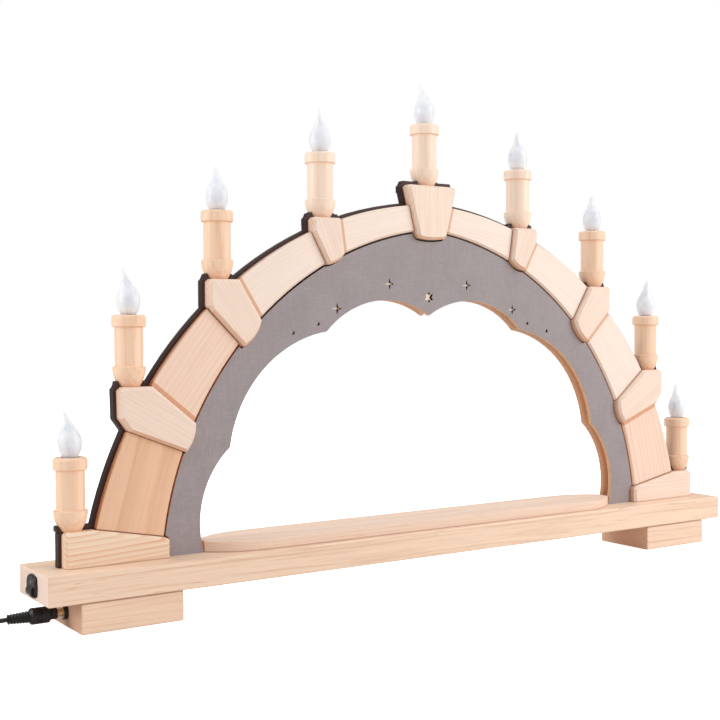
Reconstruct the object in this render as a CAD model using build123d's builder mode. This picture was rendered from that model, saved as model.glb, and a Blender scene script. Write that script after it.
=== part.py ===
"""Candle arch: an arch of wooden stones with nine lit candles on a footed base board.

The frame is in millimetres with +Z up. X runs along the base board, Y to the back,
and the origin is the middle of the footprint on the table. The arch stands in the XZ
plane. Its outlines are written for the right half, as shares of the half span between
the end candles and of the rise from the board to the shelf of the crown stone.
"""
import os
from math import cos, pi, radians, sin, sqrt, tan

from build123d import *

os.makedirs("parts", exist_ok=True)

# Base board and feet
BOARD_LENGTH = 650.0
BOARD_DEPTH = 57.5
BOARD_THICK = 20.0
FOOT_WIDTH = 73.7
FOOT_HEIGHT = 20.8
FOOT_INSET = 22.4
WOOD_ROUND = 1.0
BOARD_TOP = FOOT_HEIGHT + BOARD_THICK

# Screws that hold the feet
SCREW_LENGTH = 32.0
SCREW_SHANK = 3.6
SCREW_HEAD = 7.0
SCREW_ANGLE = 82.0
SCREW_SINK = 0.8
SCREW_EDGE = 14.0
SCREW_FIT = 0.1

# Platform that the figures stand on
PLATFORM_THICK = 8.0
PLATFORM_DEPTH = 46.0
PLATFORM_STRAIGHT_SHARE = 0.78
PLATFORM_GAP = 0.3
PLATFORM_ROUND = 0.8

# Arch as a whole
ARCH_INSET = 26.15
HALF_SPAN = BOARD_LENGTH / 2 - ARCH_INSET
RISE_SHARE = 0.91584
RISE = RISE_SHARE * HALF_SPAN
CARRIER_THICK = 6.2
PLATE_THICK = 3.1
STONE_THICK = 9.1
SEGMENT_THICK = 4.7
STONE_CHAMFER = 2.0
SEGMENT_CHAMFER = 1.5
SEGMENT_OUTER_CHAMFER = 0.5
REVEAL = 1.5
RIM = 2.3
RIM_TOP = 3.4
CLIP_WIDE = 3.0
CLIP_TALL = 6.0
HORN = 0.8
HORN_WIDE = 1.2
CHANNEL_DEEP = 6.5
TENON_DEEP = 10.0
TENON_SHARES = (0.723, 0.836)
TENON_FIT = 0.2

# Right half of the arch: springing, haunch and crown of its two arcs, and its scallops
OUTER_SHARES = ((0.965, 0.0), (0.6786, 0.6222), (0.0, 0.946))
INNER_SHARES = ((0.787, 0.0), (0.5347, 0.5977), (0.0, 0.8725))
SCALLOP_SHARES = (
    ((0.676, 0.0), (0.6863, 0.0848), (0.6047, 0.2718)),
    ((0.6047, 0.2718), (0.5116, 0.4753), (0.3266, 0.5765)),
    ((0.3266, 0.5765), (0.1385, 0.6653), (0.0, 0.6215)),
)

# Shelf of each stone under its candle, from the crown down to the springer
SHELF_SHARES = ((0.0, 1.0), (0.332, 0.8915), (0.626, 0.7155), (0.856, 0.44), (1.0, 0.089))

# Stones between crown and springer, from their shelf point: the corners from the inner
# end of the shelf round the outside to the lower tip, then the bowed inner face
STONE_SHARES = (
    ((-0.0385, 0.0), (0.036, 0.0), (0.043, -0.008), (0.042, -0.0395), (-0.003, -0.13)),
    ((-0.041, 0.0), (0.032, 0.0), (0.039, -0.008), (0.039, -0.07), (0.032, -0.084), (-0.055, -0.1775)),
    ((-0.0435, 0.0), (0.028, 0.0), (0.037, -0.009), (0.0355, -0.078), (0.014, -0.111), (-0.129, -0.172)),
)
FACE_SHARES = (
    ((-0.03, -0.12), (-0.052, -0.0985)),
    ((-0.087, -0.1465), (-0.103, -0.108)),
    ((-0.149, -0.136), (-0.154, -0.0985)),
)
CROWN_SHARES = ((0.0736, 0.0), (0.0803, -0.0073), (0.0485, -0.144), (0.042, -0.153), (0.0, -0.1575))
SPRINGER_SHARES = ((-0.0463, 0.0), (0.019, 0.0), (0.0256, -0.0073), (-0.227, -0.0427), (-0.2187, -0.0362))

# Stars cut through the front plate: place, points, tip radius, and how deep the notches go
STAR_TIP = 4.7
STARS_SHARE = (
    (0.0, 0.675, 6, 1.0, 0.55),
    (0.13, 0.712, 4, 1.0, 0.3),
    (0.2945, 0.64, 4, 1.0, 0.3),
    (0.3515, 0.5975, 5, 0.42, 0.42),
    (0.4255, 0.573, 5, 0.45, 0.42),
)

# Turned candle sleeve: a cup, a plain body and a rolled rim
SLEEVE_HEIGHT = 49.7
CUP_FOOT = 14.5
CUP_WIDE = 23.3
CUP_HEIGHT = 13.0
CUP_EDGE = 1.4
CUP_SWELL_SHARES = (0.66, 0.44)
BODY_WIDE = 19.6
RIM_WIDE = 23.4
RIM_TALL = 8.4
RIM_ROUND = 2.2
SOCKET_BORE = 12.6
SOCKET_DEEP = 17.5
WIRE_BORE = 6.0
NOTCH_FIT = 0.5
RADIUS_MATCH = 0.25

# Screw socket inside each sleeve
SOCKET_WIDE = 12.4
SOCKET_TALL = 16.0
SOCKET_FLOOR = 2.5
LAMP_FIT = 0.3

# Flame lamp: cap with its contact, and a bulb that swells and leans to a bent tip
CAP_WIDE = 9.5
CAP_TALL = 13.0
CONTACT_WIDE = 4.6
CONTACT_TALL = 1.4
BULB_WIDE = 16.0
BULB_TALL = 33.0
TIP_LEAN = 4.2
BULB_SHARES = (
    (0.0, 0.56, 0.0), (0.1, 0.76, 0.0), (0.29, 1.0, 0.0), (0.48, 0.87, 0.06),
    (0.68, 0.53, 0.3), (0.86, 0.24, 0.68), (1.0, 0.07, 1.0),
)
TIP_TURNS = (150.0, 140.0, 77.0, 236.0, 107.0, 224.0, 56.0, 240.0, 60.0)

# Wires behind the stones, between the socket risers
WIRE = 2.4
GROOVE_WIDE = 3.2
GROOVE_DEEP = 3.0
LOOM_SHARES = ((0.875, 0.0), (0.0, 0.909))
LOOM_LINK_SHARE = 0.04
DUCT = 8.0
WIRE_SLACK = 0.3

# Rocker switch in the left end of the board
SWITCH_BEZEL = (22.0, 16.4)
SWITCH_FLANGE = 2.0
SWITCH_BODY = (16.6, 13.8)
SWITCH_DEEP = 17.0
SWITCH_CORNER = 3.0
SWITCH_ROUND = 0.9
SWITCH_FIT = 0.2
ROCKER_WIDE = 10.4
ROCKER_RADIUS = 6.1
ROCKER_STAND = 1.5
ROCKER_BACK = 3.6
ROCKER_TILT = 10.0
ROCKER_FIT = 0.3
ROCKER_PIN = 1.6
ROCKER_PIN_OUT = 1.2
PIN_FIT = 0.05

# Power jack in the left foot
JACK_BUSH = 8.0
JACK_BUSH_OUT = 3.0
JACK_BODY = 11.0
JACK_BODY_DEEP = 12.0
JACK_WALL = 5.0
JACK_NUT = 10.4
JACK_NUT_THICK = 2.6
JACK_FIT = 0.2
JACK_PIN = 2.0
JACK_BORE_DEEP = 13.0
JACK_POCKET_DEEP = 48.0

# Plug, with its barrel partly pushed in, and its ribbed strain relief
BARREL = 5.5
BARREL_BORE = 2.6
BARREL_LENGTH = 9.6
BARREL_SHOWS = 4.1
BARREL_FIT = 0.05
PLUG_NECK = 7.8
PLUG_NECK_LONG = 4.1
PLUG_GRIP = 11.1
PLUG_GRIP_LONG = 14.4
PLUG_TAPER = 1.4
GRIP_GROOVE = 0.4
GRIP_GROOVE_WIDE = 0.9
RELIEF_START = 8.2
RELIEF_END = 6.6
RELIEF_LONG = 14.0
RELIEF_RIBS = 7
RIB_DEEP = 0.5

# Cord and its coil
CORD = 3.2
FLOOR_GAP = 0.1
COIL_CENTRE = (-474.0, 20.0)
COIL_MEAN = 18.4
COIL_LAYERS = 4
COIL_TURNS = 3
COIL_PITCH = 3.75
COIL_LEAD = 14.0
COIL_TAIL = 9.0
COIL_EXTRA_SHARE = 0.5
COIL_NEAR_SHARE = 0.01
COIL_ARCS = 4
COIL_SAMPLES = 12
CORNER_SHARE = 0.45

# Plug-in adapter at the far end of the cord
ADAPTER = (70.0, 42.0, 30.0)
ADAPTER_ROUND = 4.0
ADAPTER_RELIEF = 9.0
ADAPTER_RELIEF_END = 6.0
ADAPTER_RELIEF_LONG = 22.0
ADAPTER_BASE = (38.0, 20.0)
ADAPTER_BASE_TALL = 3.5
PIN = 4.0
PIN_LONG = 19.0
PIN_SPACING = 18.6
PIN_FROM_END = 26.0
PIN_SEAT = 3.0

OVERRUN = 20.0
PLANE_FRONT = Plane.XZ.offset(CARRIER_THICK / 2)
PLANE_BACK = Plane.XZ.offset(-CARRIER_THICK / 2)
FOOT_X = BOARD_LENGTH / 2 - FOOT_INSET - FOOT_WIDTH / 2
FOOT_FACE = BOARD_LENGTH / 2 - FOOT_INSET
DUCT_X = -LOOM_SHARES[0][0] * HALF_SPAN
SWITCH_Z = FOOT_HEIGHT + BOARD_THICK / 2
JACK_Z = FOOT_HEIGHT / 2
WIRE_Y = CARRIER_THICK / 2 - GROOVE_DEEP / 2


def keep(piece, name):
    """Label a finished piece and write it under its own name."""
    piece.label = name
    export_step(piece, f"parts/{name}.step")


def at(share, side=1):
    """Point of the arch plane from shares of the half span and of the rise."""
    return (side * share[0] * HALF_SPAN, BOARD_TOP + share[1] * RISE)


def near(shelf, share, side=1):
    """Point of the arch plane from shares counted from a shelf point."""
    return at((shelf[0] + share[0], shelf[1] + share[1]), side)


def arch_outline(shares):
    """Closed line of both halves of one arc pair, with its foot on the board."""
    foot, haunch, crown = shares
    ThreePointArc(at(foot), at(haunch), at(crown))
    ThreePointArc(at(crown), at(haunch, -1), at(foot, -1))
    Line(at(foot, -1), at(foot))


def opening_outline():
    """Closed line of the scalloped opening."""
    for side in (1, -1):
        for start, middle, end in SCALLOP_SHARES:
            ThreePointArc(at(start, side), at(middle, side), at(end, side))
    first = SCALLOP_SHARES[0][0]
    Line(at(first, -1), at(first))


def stone_outline(index, side):
    """Closed line of one stone between crown and springer."""
    shelf = SHELF_SHARES[index]
    corners = [near(shelf, share, side) for share in STONE_SHARES[index - 1]]
    middle, top = [near(shelf, share, side) for share in FACE_SHARES[index - 1]]
    Polyline(*corners)
    ThreePointArc(corners[-1], middle, top)
    Line(top, corners[0])


def crown_outline():
    """Closed line of the crown stone."""
    shelf = SHELF_SHARES[0]
    right = [near(shelf, share) for share in CROWN_SHARES[:-1]]
    left = [near(shelf, share, -1) for share in CROWN_SHARES[:-1]]
    Polyline(*reversed(right), *left)
    ThreePointArc(left[-1], near(shelf, CROWN_SHARES[-1]), right[-1])


def springer_outline(side):
    """Closed line of one springer, which stands on the board."""
    shelf = SHELF_SHARES[-1]
    inner, outer, clip, end, slope = [near(shelf, share, side) for share in SPRINGER_SHARES]
    Polyline(inner, outer, clip, (clip[0], BOARD_TOP), (end[0], BOARD_TOP), end, slope, close=True)


def stone_faces():
    """All nine stones from left to right, each as a flat face in the arch plane."""
    faces = []
    for place in range(-4, 5):
        index = abs(place)
        side = 1 if place > 0 else -1
        with BuildSketch() as stone:
            with BuildLine():
                if index == 0:
                    crown_outline()
                elif index == len(SHELF_SHARES) - 1:
                    springer_outline(side)
                else:
                    stone_outline(index, side)
            make_face()
        faces.append(stone.sketch)
    return faces


def candle_places():
    """Shelf points of the nine candles from left to right."""
    left = [at(share, -1) for share in reversed(SHELF_SHARES)]
    return left + [at(share) for share in SHELF_SHARES[1:]]


STONES = stone_faces()
CANDLES = candle_places()
CARRIER_FLOOR = Location((0, BOARD_TOP - OVERRUN / 2))
FLOOR_CUT = (BOARD_LENGTH + OVERRUN, OVERRUN)


# Base board with the mortises, the switch pocket, the wire ducts and the pilot holes
tenon_middle = (TENON_SHARES[0] + TENON_SHARES[1]) / 2 * HALF_SPAN
tenon_long = (TENON_SHARES[1] - TENON_SHARES[0]) * HALF_SPAN
sink_slope = tan(radians(SCREW_ANGLE / 2))
head_tall = (SCREW_HEAD - SCREW_SHANK) / 2 / sink_slope
pilot_deep = SCREW_LENGTH + SCREW_SINK - FOOT_HEIGHT + SCREW_FIT
with BuildPart() as base_board:
    with Locations((0, 0, FOOT_HEIGHT + BOARD_THICK / 2)):
        Box(BOARD_LENGTH, BOARD_DEPTH, BOARD_THICK)
    fillet(base_board.edges(), WOOD_ROUND)
    with BuildSketch(Plane.XY.offset(BOARD_TOP)):
        with Locations((-tenon_middle, 0), (tenon_middle, 0)):
            Rectangle(tenon_long + 2 * TENON_FIT, CARRIER_THICK + 2 * TENON_FIT)
    extrude(amount=-TENON_DEEP - TENON_FIT, mode=Mode.SUBTRACT)
    with BuildSketch(Plane.YZ.offset(-BOARD_LENGTH / 2)):
        with Locations((0, SWITCH_Z)):
            RectangleRounded(SWITCH_BODY[0] + 2 * SWITCH_FIT, SWITCH_BODY[1] + 2 * SWITCH_FIT, SWITCH_CORNER)
    extrude(amount=SWITCH_DEEP + SWITCH_FIT, mode=Mode.SUBTRACT)
    with BuildSketch(Plane.YZ.offset(-BOARD_LENGTH / 2 + SWITCH_DEEP)):
        with Locations((0, SWITCH_Z)):
            Circle(DUCT / 2)
    extrude(amount=BOARD_LENGTH / 2 - SWITCH_DEEP + DUCT_X, mode=Mode.SUBTRACT)
    with BuildSketch(Plane.XY.offset(FOOT_HEIGHT)):
        with Locations((DUCT_X, 0)):
            Circle(DUCT / 2)
    extrude(amount=BOARD_THICK, mode=Mode.SUBTRACT)
    with BuildSketch(Plane.XY.offset(FOOT_HEIGHT)):
        for foot_x in (-FOOT_X, FOOT_X):
            with Locations((foot_x, 0)):
                with GridLocations(0, BOARD_DEPTH - 2 * SCREW_EDGE, 1, 2):
                    Circle(SCREW_SHANK / 2 + SCREW_FIT)
    extrude(amount=pilot_deep, mode=Mode.SUBTRACT)
keep(base_board.part, "base_board")


# Feet, each held by two countersunk screws from below
for foot_x, foot_name in ((-FOOT_X, "foot_left"), (FOOT_X, "foot_right")):
    with BuildPart() as foot:
        with Locations((foot_x, 0, FOOT_HEIGHT / 2)):
            Box(FOOT_WIDTH, BOARD_DEPTH, FOOT_HEIGHT)
        fillet(foot.edges(), WOOD_ROUND)
        with Locations(Plane((foot_x, 0, 0), z_dir=(0, 0, -1))):
            with GridLocations(0, BOARD_DEPTH - 2 * SCREW_EDGE, 1, 2):
                CounterSinkHole(
                    radius=SCREW_SHANK / 2 + SCREW_FIT,
                    counter_sink_radius=SCREW_HEAD / 2 + SCREW_FIT + SCREW_SINK * sink_slope,
                    depth=FOOT_HEIGHT,
                    counter_sink_angle=SCREW_ANGLE,
                )
        if foot_x < 0:
            with BuildSketch(Plane.YZ.offset(-FOOT_FACE)):
                with Locations((0, JACK_Z)):
                    Circle(JACK_BUSH / 2 + JACK_FIT)
            extrude(amount=JACK_WALL, mode=Mode.SUBTRACT)
            with BuildSketch(Plane.YZ.offset(-FOOT_FACE + JACK_WALL)):
                with Locations((0, JACK_Z)):
                    Circle(JACK_BODY / 2 + JACK_FIT)
            extrude(amount=JACK_POCKET_DEEP - JACK_WALL, mode=Mode.SUBTRACT)
            with BuildSketch(Plane.XY.offset(JACK_Z)):
                with Locations((DUCT_X, 0)):
                    Circle(DUCT / 2)
            extrude(amount=FOOT_HEIGHT - JACK_Z, mode=Mode.SUBTRACT)
    keep(foot.part, foot_name)

with BuildPart() as foot_screws:
    for foot_x in (-FOOT_X, FOOT_X):
        with Locations((foot_x, 0, SCREW_SINK)):
            with GridLocations(0, BOARD_DEPTH - 2 * SCREW_EDGE, 1, 2):
                Cone(
                    SCREW_HEAD / 2, SCREW_SHANK / 2, head_tall,
                    align=(Align.CENTER, Align.CENTER, Align.MIN),
                )
                Cylinder(SCREW_SHANK / 2, SCREW_LENGTH, align=(Align.CENTER, Align.CENTER, Align.MIN))
keep(foot_screws.part, "foot_screws")


# Platform with swept-in corners between the legs of the arch
platform_half = SCALLOP_SHARES[0][0][0] * HALF_SPAN - PLATFORM_GAP
platform_end = CARRIER_THICK / 2 + PLATE_THICK
with BuildPart() as platform_board:
    with BuildSketch(Plane.XY.offset(BOARD_TOP)):
        with BuildLine():
            for side_x, side_y in ((1, 1), (1, -1), (-1, -1), (-1, 1)):
                start = (side_x * PLATFORM_STRAIGHT_SHARE * platform_half, side_y * PLATFORM_DEPTH / 2)
                end = (side_x * platform_half, side_y * platform_end)
                TangentArc(start, end, tangent=(side_x, 0))
            for side in (1, -1):
                straight = PLATFORM_STRAIGHT_SHARE * platform_half
                Line((-straight, side * PLATFORM_DEPTH / 2), (straight, side * PLATFORM_DEPTH / 2))
                Line((side * platform_half, -platform_end), (side * platform_half, platform_end))
        make_face()
    extrude(amount=PLATFORM_THICK)
    fillet(platform_board.faces().sort_by(Axis.Z)[-1].edges(), PLATFORM_ROUND)
keep(platform_board.part, "platform_board")


# Carrier ring: its rim stands out round the stones, and each candle sits in a notch
cup_radius = CUP_FOOT / 2 + NOTCH_FIT
horn_level = RIM_TOP + HORN
cup_slope = (CUP_WIDE - CUP_FOOT) / 2 * CUP_SWELL_SHARES[0] / (CUP_HEIGHT * CUP_SWELL_SHARES[1])
horn_half = cup_radius + horn_level * cup_slope
loom_foot = at(LOOM_SHARES[0])
loom_crown = at(LOOM_SHARES[1])


def loom_lines():
    """Wire route in the arch plane: one arc, a riser to each candle and a link to each end candle."""
    arc = ThreePointArc((-loom_foot[0], loom_foot[1]), loom_crown, loom_foot)
    link_level = BOARD_TOP + LOOM_LINK_SHARE * RISE
    for place_x, shelf_z in CANDLES:
        if abs(place_x) < arc.radius - GROOVE_WIDE:
            level = arc.arc_center.Y + sqrt(arc.radius**2 - place_x**2)
            Line((place_x, shelf_z), (place_x, level))
        else:
            side = place_x / abs(place_x)
            link_x = sqrt(arc.radius**2 - (link_level - arc.arc_center.Y)**2)
            Line((place_x, shelf_z), (place_x, link_level))
            Line((place_x, link_level), (side * link_x, link_level))


with BuildPart() as carrier_ring:
    with BuildSketch(PLANE_FRONT):
        with BuildLine():
            arch_outline(OUTER_SHARES)
        make_face()
        offset(amount=RIM, kind=Kind.INTERSECTION)
        for (place_x, shelf_z), stone in zip(CANDLES, STONES):
            offset(stone, amount=RIM, kind=Kind.INTERSECTION, mode=Mode.ADD)
            box = stone.bounding_box()
            shelf_edge = stone.edges().filter_by(Axis.X).sort_by(Axis.Y)[-1]
            shelf_box = shelf_edge.bounding_box()
            outer_left = place_x <= 0
            outer_right = place_x >= 0
            left = box.min.X - RIM if outer_left else shelf_box.min.X - RIM
            right = box.max.X + RIM if outer_right else shelf_box.max.X + RIM
            top = shelf_z + RIM_TOP
            with BuildLine():
                low = shelf_z - CLIP_TALL
                left_clip = [(left, top - CLIP_TALL), (left + CLIP_WIDE, top)] if outer_left else [(left, top)]
                right_clip = [(right - CLIP_WIDE, top), (right, top - CLIP_TALL)] if outer_right else [(right, top)]
                Polyline((left, low), *left_clip, *right_clip, (right, low), close=True)
            make_face()
            for side in (-1, 1):
                with BuildLine():
                    Polyline(
                        (place_x + side * cup_radius, shelf_z),
                        (place_x + side * horn_half, shelf_z + horn_level),
                        (place_x + side * (horn_half + HORN_WIDE), top),
                        (place_x + side * (horn_half + HORN_WIDE), shelf_z),
                        close=True,
                    )
                make_face()
        for place_x, shelf_z in CANDLES:
            with BuildLine():
                Polyline(
                    (place_x - cup_radius, shelf_z),
                    (place_x + cup_radius, shelf_z),
                    (place_x + horn_half, shelf_z + horn_level),
                    (place_x - horn_half, shelf_z + horn_level),
                    close=True,
                )
            make_face(mode=Mode.SUBTRACT)
        with BuildSketch(mode=Mode.SUBTRACT):
            with BuildLine():
                opening_outline()
            make_face()
            offset(amount=CHANNEL_DEEP, kind=Kind.INTERSECTION)
        with Locations(CARRIER_FLOOR):
            Rectangle(*FLOOR_CUT, mode=Mode.SUBTRACT)
        with Locations(
            (-tenon_middle, BOARD_TOP - TENON_DEEP / 2),
            (tenon_middle, BOARD_TOP - TENON_DEEP / 2),
        ):
            Rectangle(tenon_long, TENON_DEEP)
    extrude(amount=-CARRIER_THICK)
    with BuildSketch(PLANE_BACK):
        with BuildLine():
            loom_lines()
        trace(line_width=GROOVE_WIDE)
    extrude(amount=GROOVE_DEEP, mode=Mode.SUBTRACT)
keep(carrier_ring.part, "carrier_ring")


# Front plate: it fills the arch between its scallops and the stones, with a narrow reveal
with BuildPart() as front_plate:
    with BuildSketch(PLANE_FRONT):
        with BuildLine():
            arch_outline(INNER_SHARES)
        make_face()
        offset(amount=-REVEAL, kind=Kind.INTERSECTION)
        with Locations(Location((0, BOARD_TOP + REVEAL))):
            Rectangle(2 * (SPRINGER_SHARES[3][0] + 1) * HALF_SPAN, 2 * REVEAL)
        with Locations(CARRIER_FLOOR):
            Rectangle(*FLOOR_CUT, mode=Mode.SUBTRACT)
        for stone in STONES:
            offset(stone, amount=REVEAL, kind=Kind.INTERSECTION, mode=Mode.SUBTRACT)
        with BuildLine():
            opening_outline()
        make_face(mode=Mode.SUBTRACT)
        for share_x, share_z, points, size, notch in STARS_SHARE:
            for side in ((1,) if share_x == 0 else (1, -1)):
                centre = at((share_x, share_z), side)
                tip = STAR_TIP * size
                outline = []
                for step in range(2 * points):
                    reach = tip if step % 2 == 0 else tip * notch
                    turn = pi / 2 + step * pi / points
                    outline.append((centre[0] + reach * cos(turn), centre[1] + reach * sin(turn)))
                with BuildLine():
                    Polyline(*outline, close=True)
                make_face(mode=Mode.SUBTRACT)
    extrude(amount=PLATE_THICK)
keep(front_plate.part, "front_plate")


# Back plate: one closed sheet, flush with the stones outside and with the scallops inside
with BuildPart() as back_plate:
    with BuildSketch(PLANE_BACK):
        with BuildLine():
            arch_outline(OUTER_SHARES)
        make_face()
        for stone in STONES:
            add(stone)
        with BuildLine():
            opening_outline()
        make_face(mode=Mode.SUBTRACT)
    extrude(amount=-PLATE_THICK)
keep(back_plate.part, "back_plate")


# Stones, chamfered round their front edges
for number, stone in enumerate(STONES, 1):
    with BuildPart() as stone_part:
        with BuildSketch(PLANE_FRONT):
            add(stone)
        extrude(amount=STONE_THICK)
        front = stone_part.faces().sort_by(Axis.Y)[0]
        level = [edge for edge in front.edges() if abs(edge.center().Z - BOARD_TOP) > REVEAL]
        chamfer(level, STONE_CHAMFER)
    name = {1: "springer_left", len(STONES): "springer_right"}.get(number, f"keystone_{number}")
    keep(stone_part.part, name)


# Segments of the arch between the stones, chamfered along their arcs
with BuildSketch() as segment_sketch:
    with BuildLine():
        arch_outline(OUTER_SHARES)
    make_face()
    with BuildLine():
        arch_outline(INNER_SHARES)
    make_face(mode=Mode.SUBTRACT)
    for stone in STONES:
        add(stone, mode=Mode.SUBTRACT)

for number, face in enumerate(segment_sketch.faces().sort_by(Axis.X), 1):
    with BuildPart() as segment:
        with BuildSketch(PLANE_FRONT):
            add(face)
        extrude(amount=SEGMENT_THICK)
        for rank, size in ((-1, SEGMENT_OUTER_CHAMFER), (0, SEGMENT_CHAMFER)):
            front = segment.faces().sort_by(Axis.Y)[0]
            arcs = front.edges().filter_by(GeomType.CIRCLE).sort_by(SortBy.LENGTH)[-2:]
            chamfer(arcs.sort_by(SortBy.RADIUS)[rank], size)
    keep(segment.part, f"segment_{number}")


# Candle sleeves, turned, with a socket bore above and a wire bore below
swell = (
    CUP_FOOT / 2 + CUP_SWELL_SHARES[0] * (CUP_WIDE - CUP_FOOT) / 2,
    CUP_SWELL_SHARES[1] * CUP_HEIGHT,
)
socket_low = SLEEVE_HEIGHT - SOCKET_DEEP
cap_low = socket_low + SOCKET_FLOOR
bulb_low = cap_low + CONTACT_TALL + CAP_TALL
for number, (place_x, shelf_z) in enumerate(CANDLES, 1):
    with BuildPart() as sleeve:
        with BuildSketch(Plane((place_x, 0, shelf_z), x_dir=(1, 0, 0), z_dir=(0, -1, 0))):
            with BuildLine():
                Line((WIRE_BORE / 2, 0), (CUP_FOOT / 2, 0))
                ThreePointArc((CUP_FOOT / 2, 0), swell, (CUP_WIDE / 2, CUP_HEIGHT))
                Polyline(
                    (CUP_WIDE / 2, CUP_HEIGHT),
                    (CUP_WIDE / 2, CUP_HEIGHT + CUP_EDGE / 2),
                    (BODY_WIDE / 2, CUP_HEIGHT + CUP_EDGE),
                    (BODY_WIDE / 2, SLEEVE_HEIGHT - RIM_TALL),
                    (RIM_WIDE / 2, SLEEVE_HEIGHT - RIM_TALL),
                    (RIM_WIDE / 2, SLEEVE_HEIGHT),
                    (SOCKET_BORE / 2, SLEEVE_HEIGHT),
                    (SOCKET_BORE / 2, socket_low),
                    (WIRE_BORE / 2, socket_low),
                    (WIRE_BORE / 2, 0),
                )
            make_face()
        revolve(axis=Axis((place_x, 0, 0), (0, 0, 1)))
        rim_edges = sleeve.edges().filter_by(GeomType.CIRCLE).filter_by(
            lambda edge: abs(edge.radius - RIM_WIDE / 2) < RADIUS_MATCH
        )
        top_rim = [edge for edge in rim_edges if edge.center().Z > shelf_z + SLEEVE_HEIGHT - RIM_TALL / 2]
        low_rim = [
            edge for edge in rim_edges
            if shelf_z + CUP_HEIGHT + CUP_EDGE < edge.center().Z < shelf_z + SLEEVE_HEIGHT - RIM_TALL / 2
        ]
        fillet(top_rim, RIM_ROUND)
        fillet(low_rim, (RIM_WIDE - BODY_WIDE) / 4)
    keep(sleeve.part, f"candle_sleeve_{number}")

with BuildPart() as lamp_sockets:
    for place_x, shelf_z in CANDLES:
        with Locations((place_x, 0, shelf_z + socket_low)):
            Cylinder(SOCKET_WIDE / 2, SOCKET_TALL, align=(Align.CENTER, Align.CENTER, Align.MIN))
        with Locations((place_x, 0, shelf_z + cap_low)):
            Cylinder(
                CAP_WIDE / 2 + LAMP_FIT, SOCKET_TALL,
                align=(Align.CENTER, Align.CENTER, Align.MIN), mode=Mode.SUBTRACT,
            )
keep(lamp_sockets.part, "lamp_sockets")


# Flame lamps: each bulb leans to its tip, turned its own way
for number, ((place_x, shelf_z), turn) in enumerate(zip(CANDLES, TIP_TURNS), 1):
    low = shelf_z + cap_low
    with BuildPart() as lamp:
        with Locations((place_x, 0, low)):
            Cylinder(CONTACT_WIDE / 2, CONTACT_TALL, align=(Align.CENTER, Align.CENTER, Align.MIN))
        with Locations((place_x, 0, low + CONTACT_TALL)):
            Cylinder(CAP_WIDE / 2, CAP_TALL, align=(Align.CENTER, Align.CENTER, Align.MIN))
        for height, wide, lean in BULB_SHARES:
            lean_x = place_x + lean * TIP_LEAN * cos(radians(turn))
            lean_y = lean * TIP_LEAN * sin(radians(turn))
            with BuildSketch(Plane((lean_x, lean_y, shelf_z + bulb_low + height * BULB_TALL))):
                Circle(wide * BULB_WIDE / 2)
        loft()
    keep(lamp.part, f"flame_lamp_{number}")


# Wires: the loom behind the stones, risers into the sleeves, and the lead to switch and jack
switch_back = -BOARD_LENGTH / 2 + SWITCH_DEEP
jack_back = -FOOT_FACE + JACK_WALL + JACK_BODY_DEEP
with BuildPart() as wiring_loom:
    with BuildSketch(Plane.XZ.offset(-WIRE_Y - WIRE / 2)):
        with BuildLine():
            loom_lines()
        trace(line_width=WIRE)
        with Locations(CARRIER_FLOOR):
            Rectangle(*FLOOR_CUT, mode=Mode.SUBTRACT)
        with BuildLine():
            Line((DUCT_X, BOARD_TOP), (DUCT_X, JACK_Z))
            Line((DUCT_X, SWITCH_Z), (switch_back + WIRE_SLACK, SWITCH_Z))
            Line((DUCT_X, JACK_Z), (jack_back + WIRE_SLACK, JACK_Z))
        trace(line_width=WIRE)
    extrude(amount=WIRE)
    for place_x, shelf_z in CANDLES:
        with Locations((place_x, WIRE_Y, shelf_z)):
            Cylinder(WIRE / 2, socket_low - WIRE_SLACK, align=(Align.CENTER, Align.CENTER, Align.MIN))
keep(wiring_loom.part, "wiring_loom")


# Rocker switch: an oval bezel with its body in the pocket, and a tilting rocker
window = (ROCKER_WIDE + 2 * ROCKER_FIT, 2 * (ROCKER_RADIUS + ROCKER_FIT))
rocker_axis_x = -BOARD_LENGTH / 2 - SWITCH_FLANGE + ROCKER_STAND
with BuildPart() as switch_housing:
    with BuildSketch(Plane.YZ.offset(-BOARD_LENGTH / 2)):
        with Locations((0, SWITCH_Z)):
            Ellipse(SWITCH_BEZEL[0] / 2, SWITCH_BEZEL[1] / 2)
    extrude(amount=-SWITCH_FLANGE)
    chamfer(switch_housing.faces().sort_by(Axis.X)[0].edges(), SWITCH_ROUND)
    with BuildSketch(Plane.YZ.offset(-BOARD_LENGTH / 2)):
        with Locations((0, SWITCH_Z)):
            RectangleRounded(SWITCH_BODY[0], SWITCH_BODY[1], SWITCH_CORNER)
    extrude(amount=SWITCH_DEEP)
    with BuildSketch(Plane.YZ.offset(-BOARD_LENGTH / 2 - SWITCH_FLANGE)):
        with Locations((0, SWITCH_Z)):
            Rectangle(*window)
    extrude(amount=SWITCH_FLANGE + ROCKER_RADIUS + ROCKER_BACK, mode=Mode.SUBTRACT)
    with BuildSketch(Plane.XZ.offset(ROCKER_WIDE / 2 + ROCKER_PIN_OUT + ROCKER_FIT)):
        with Locations((rocker_axis_x, SWITCH_Z)):
            Circle(ROCKER_PIN / 2 + PIN_FIT)
    extrude(amount=-ROCKER_WIDE - 2 * (ROCKER_PIN_OUT + ROCKER_FIT), mode=Mode.SUBTRACT)
keep(switch_housing.part, "switch_housing")

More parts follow.
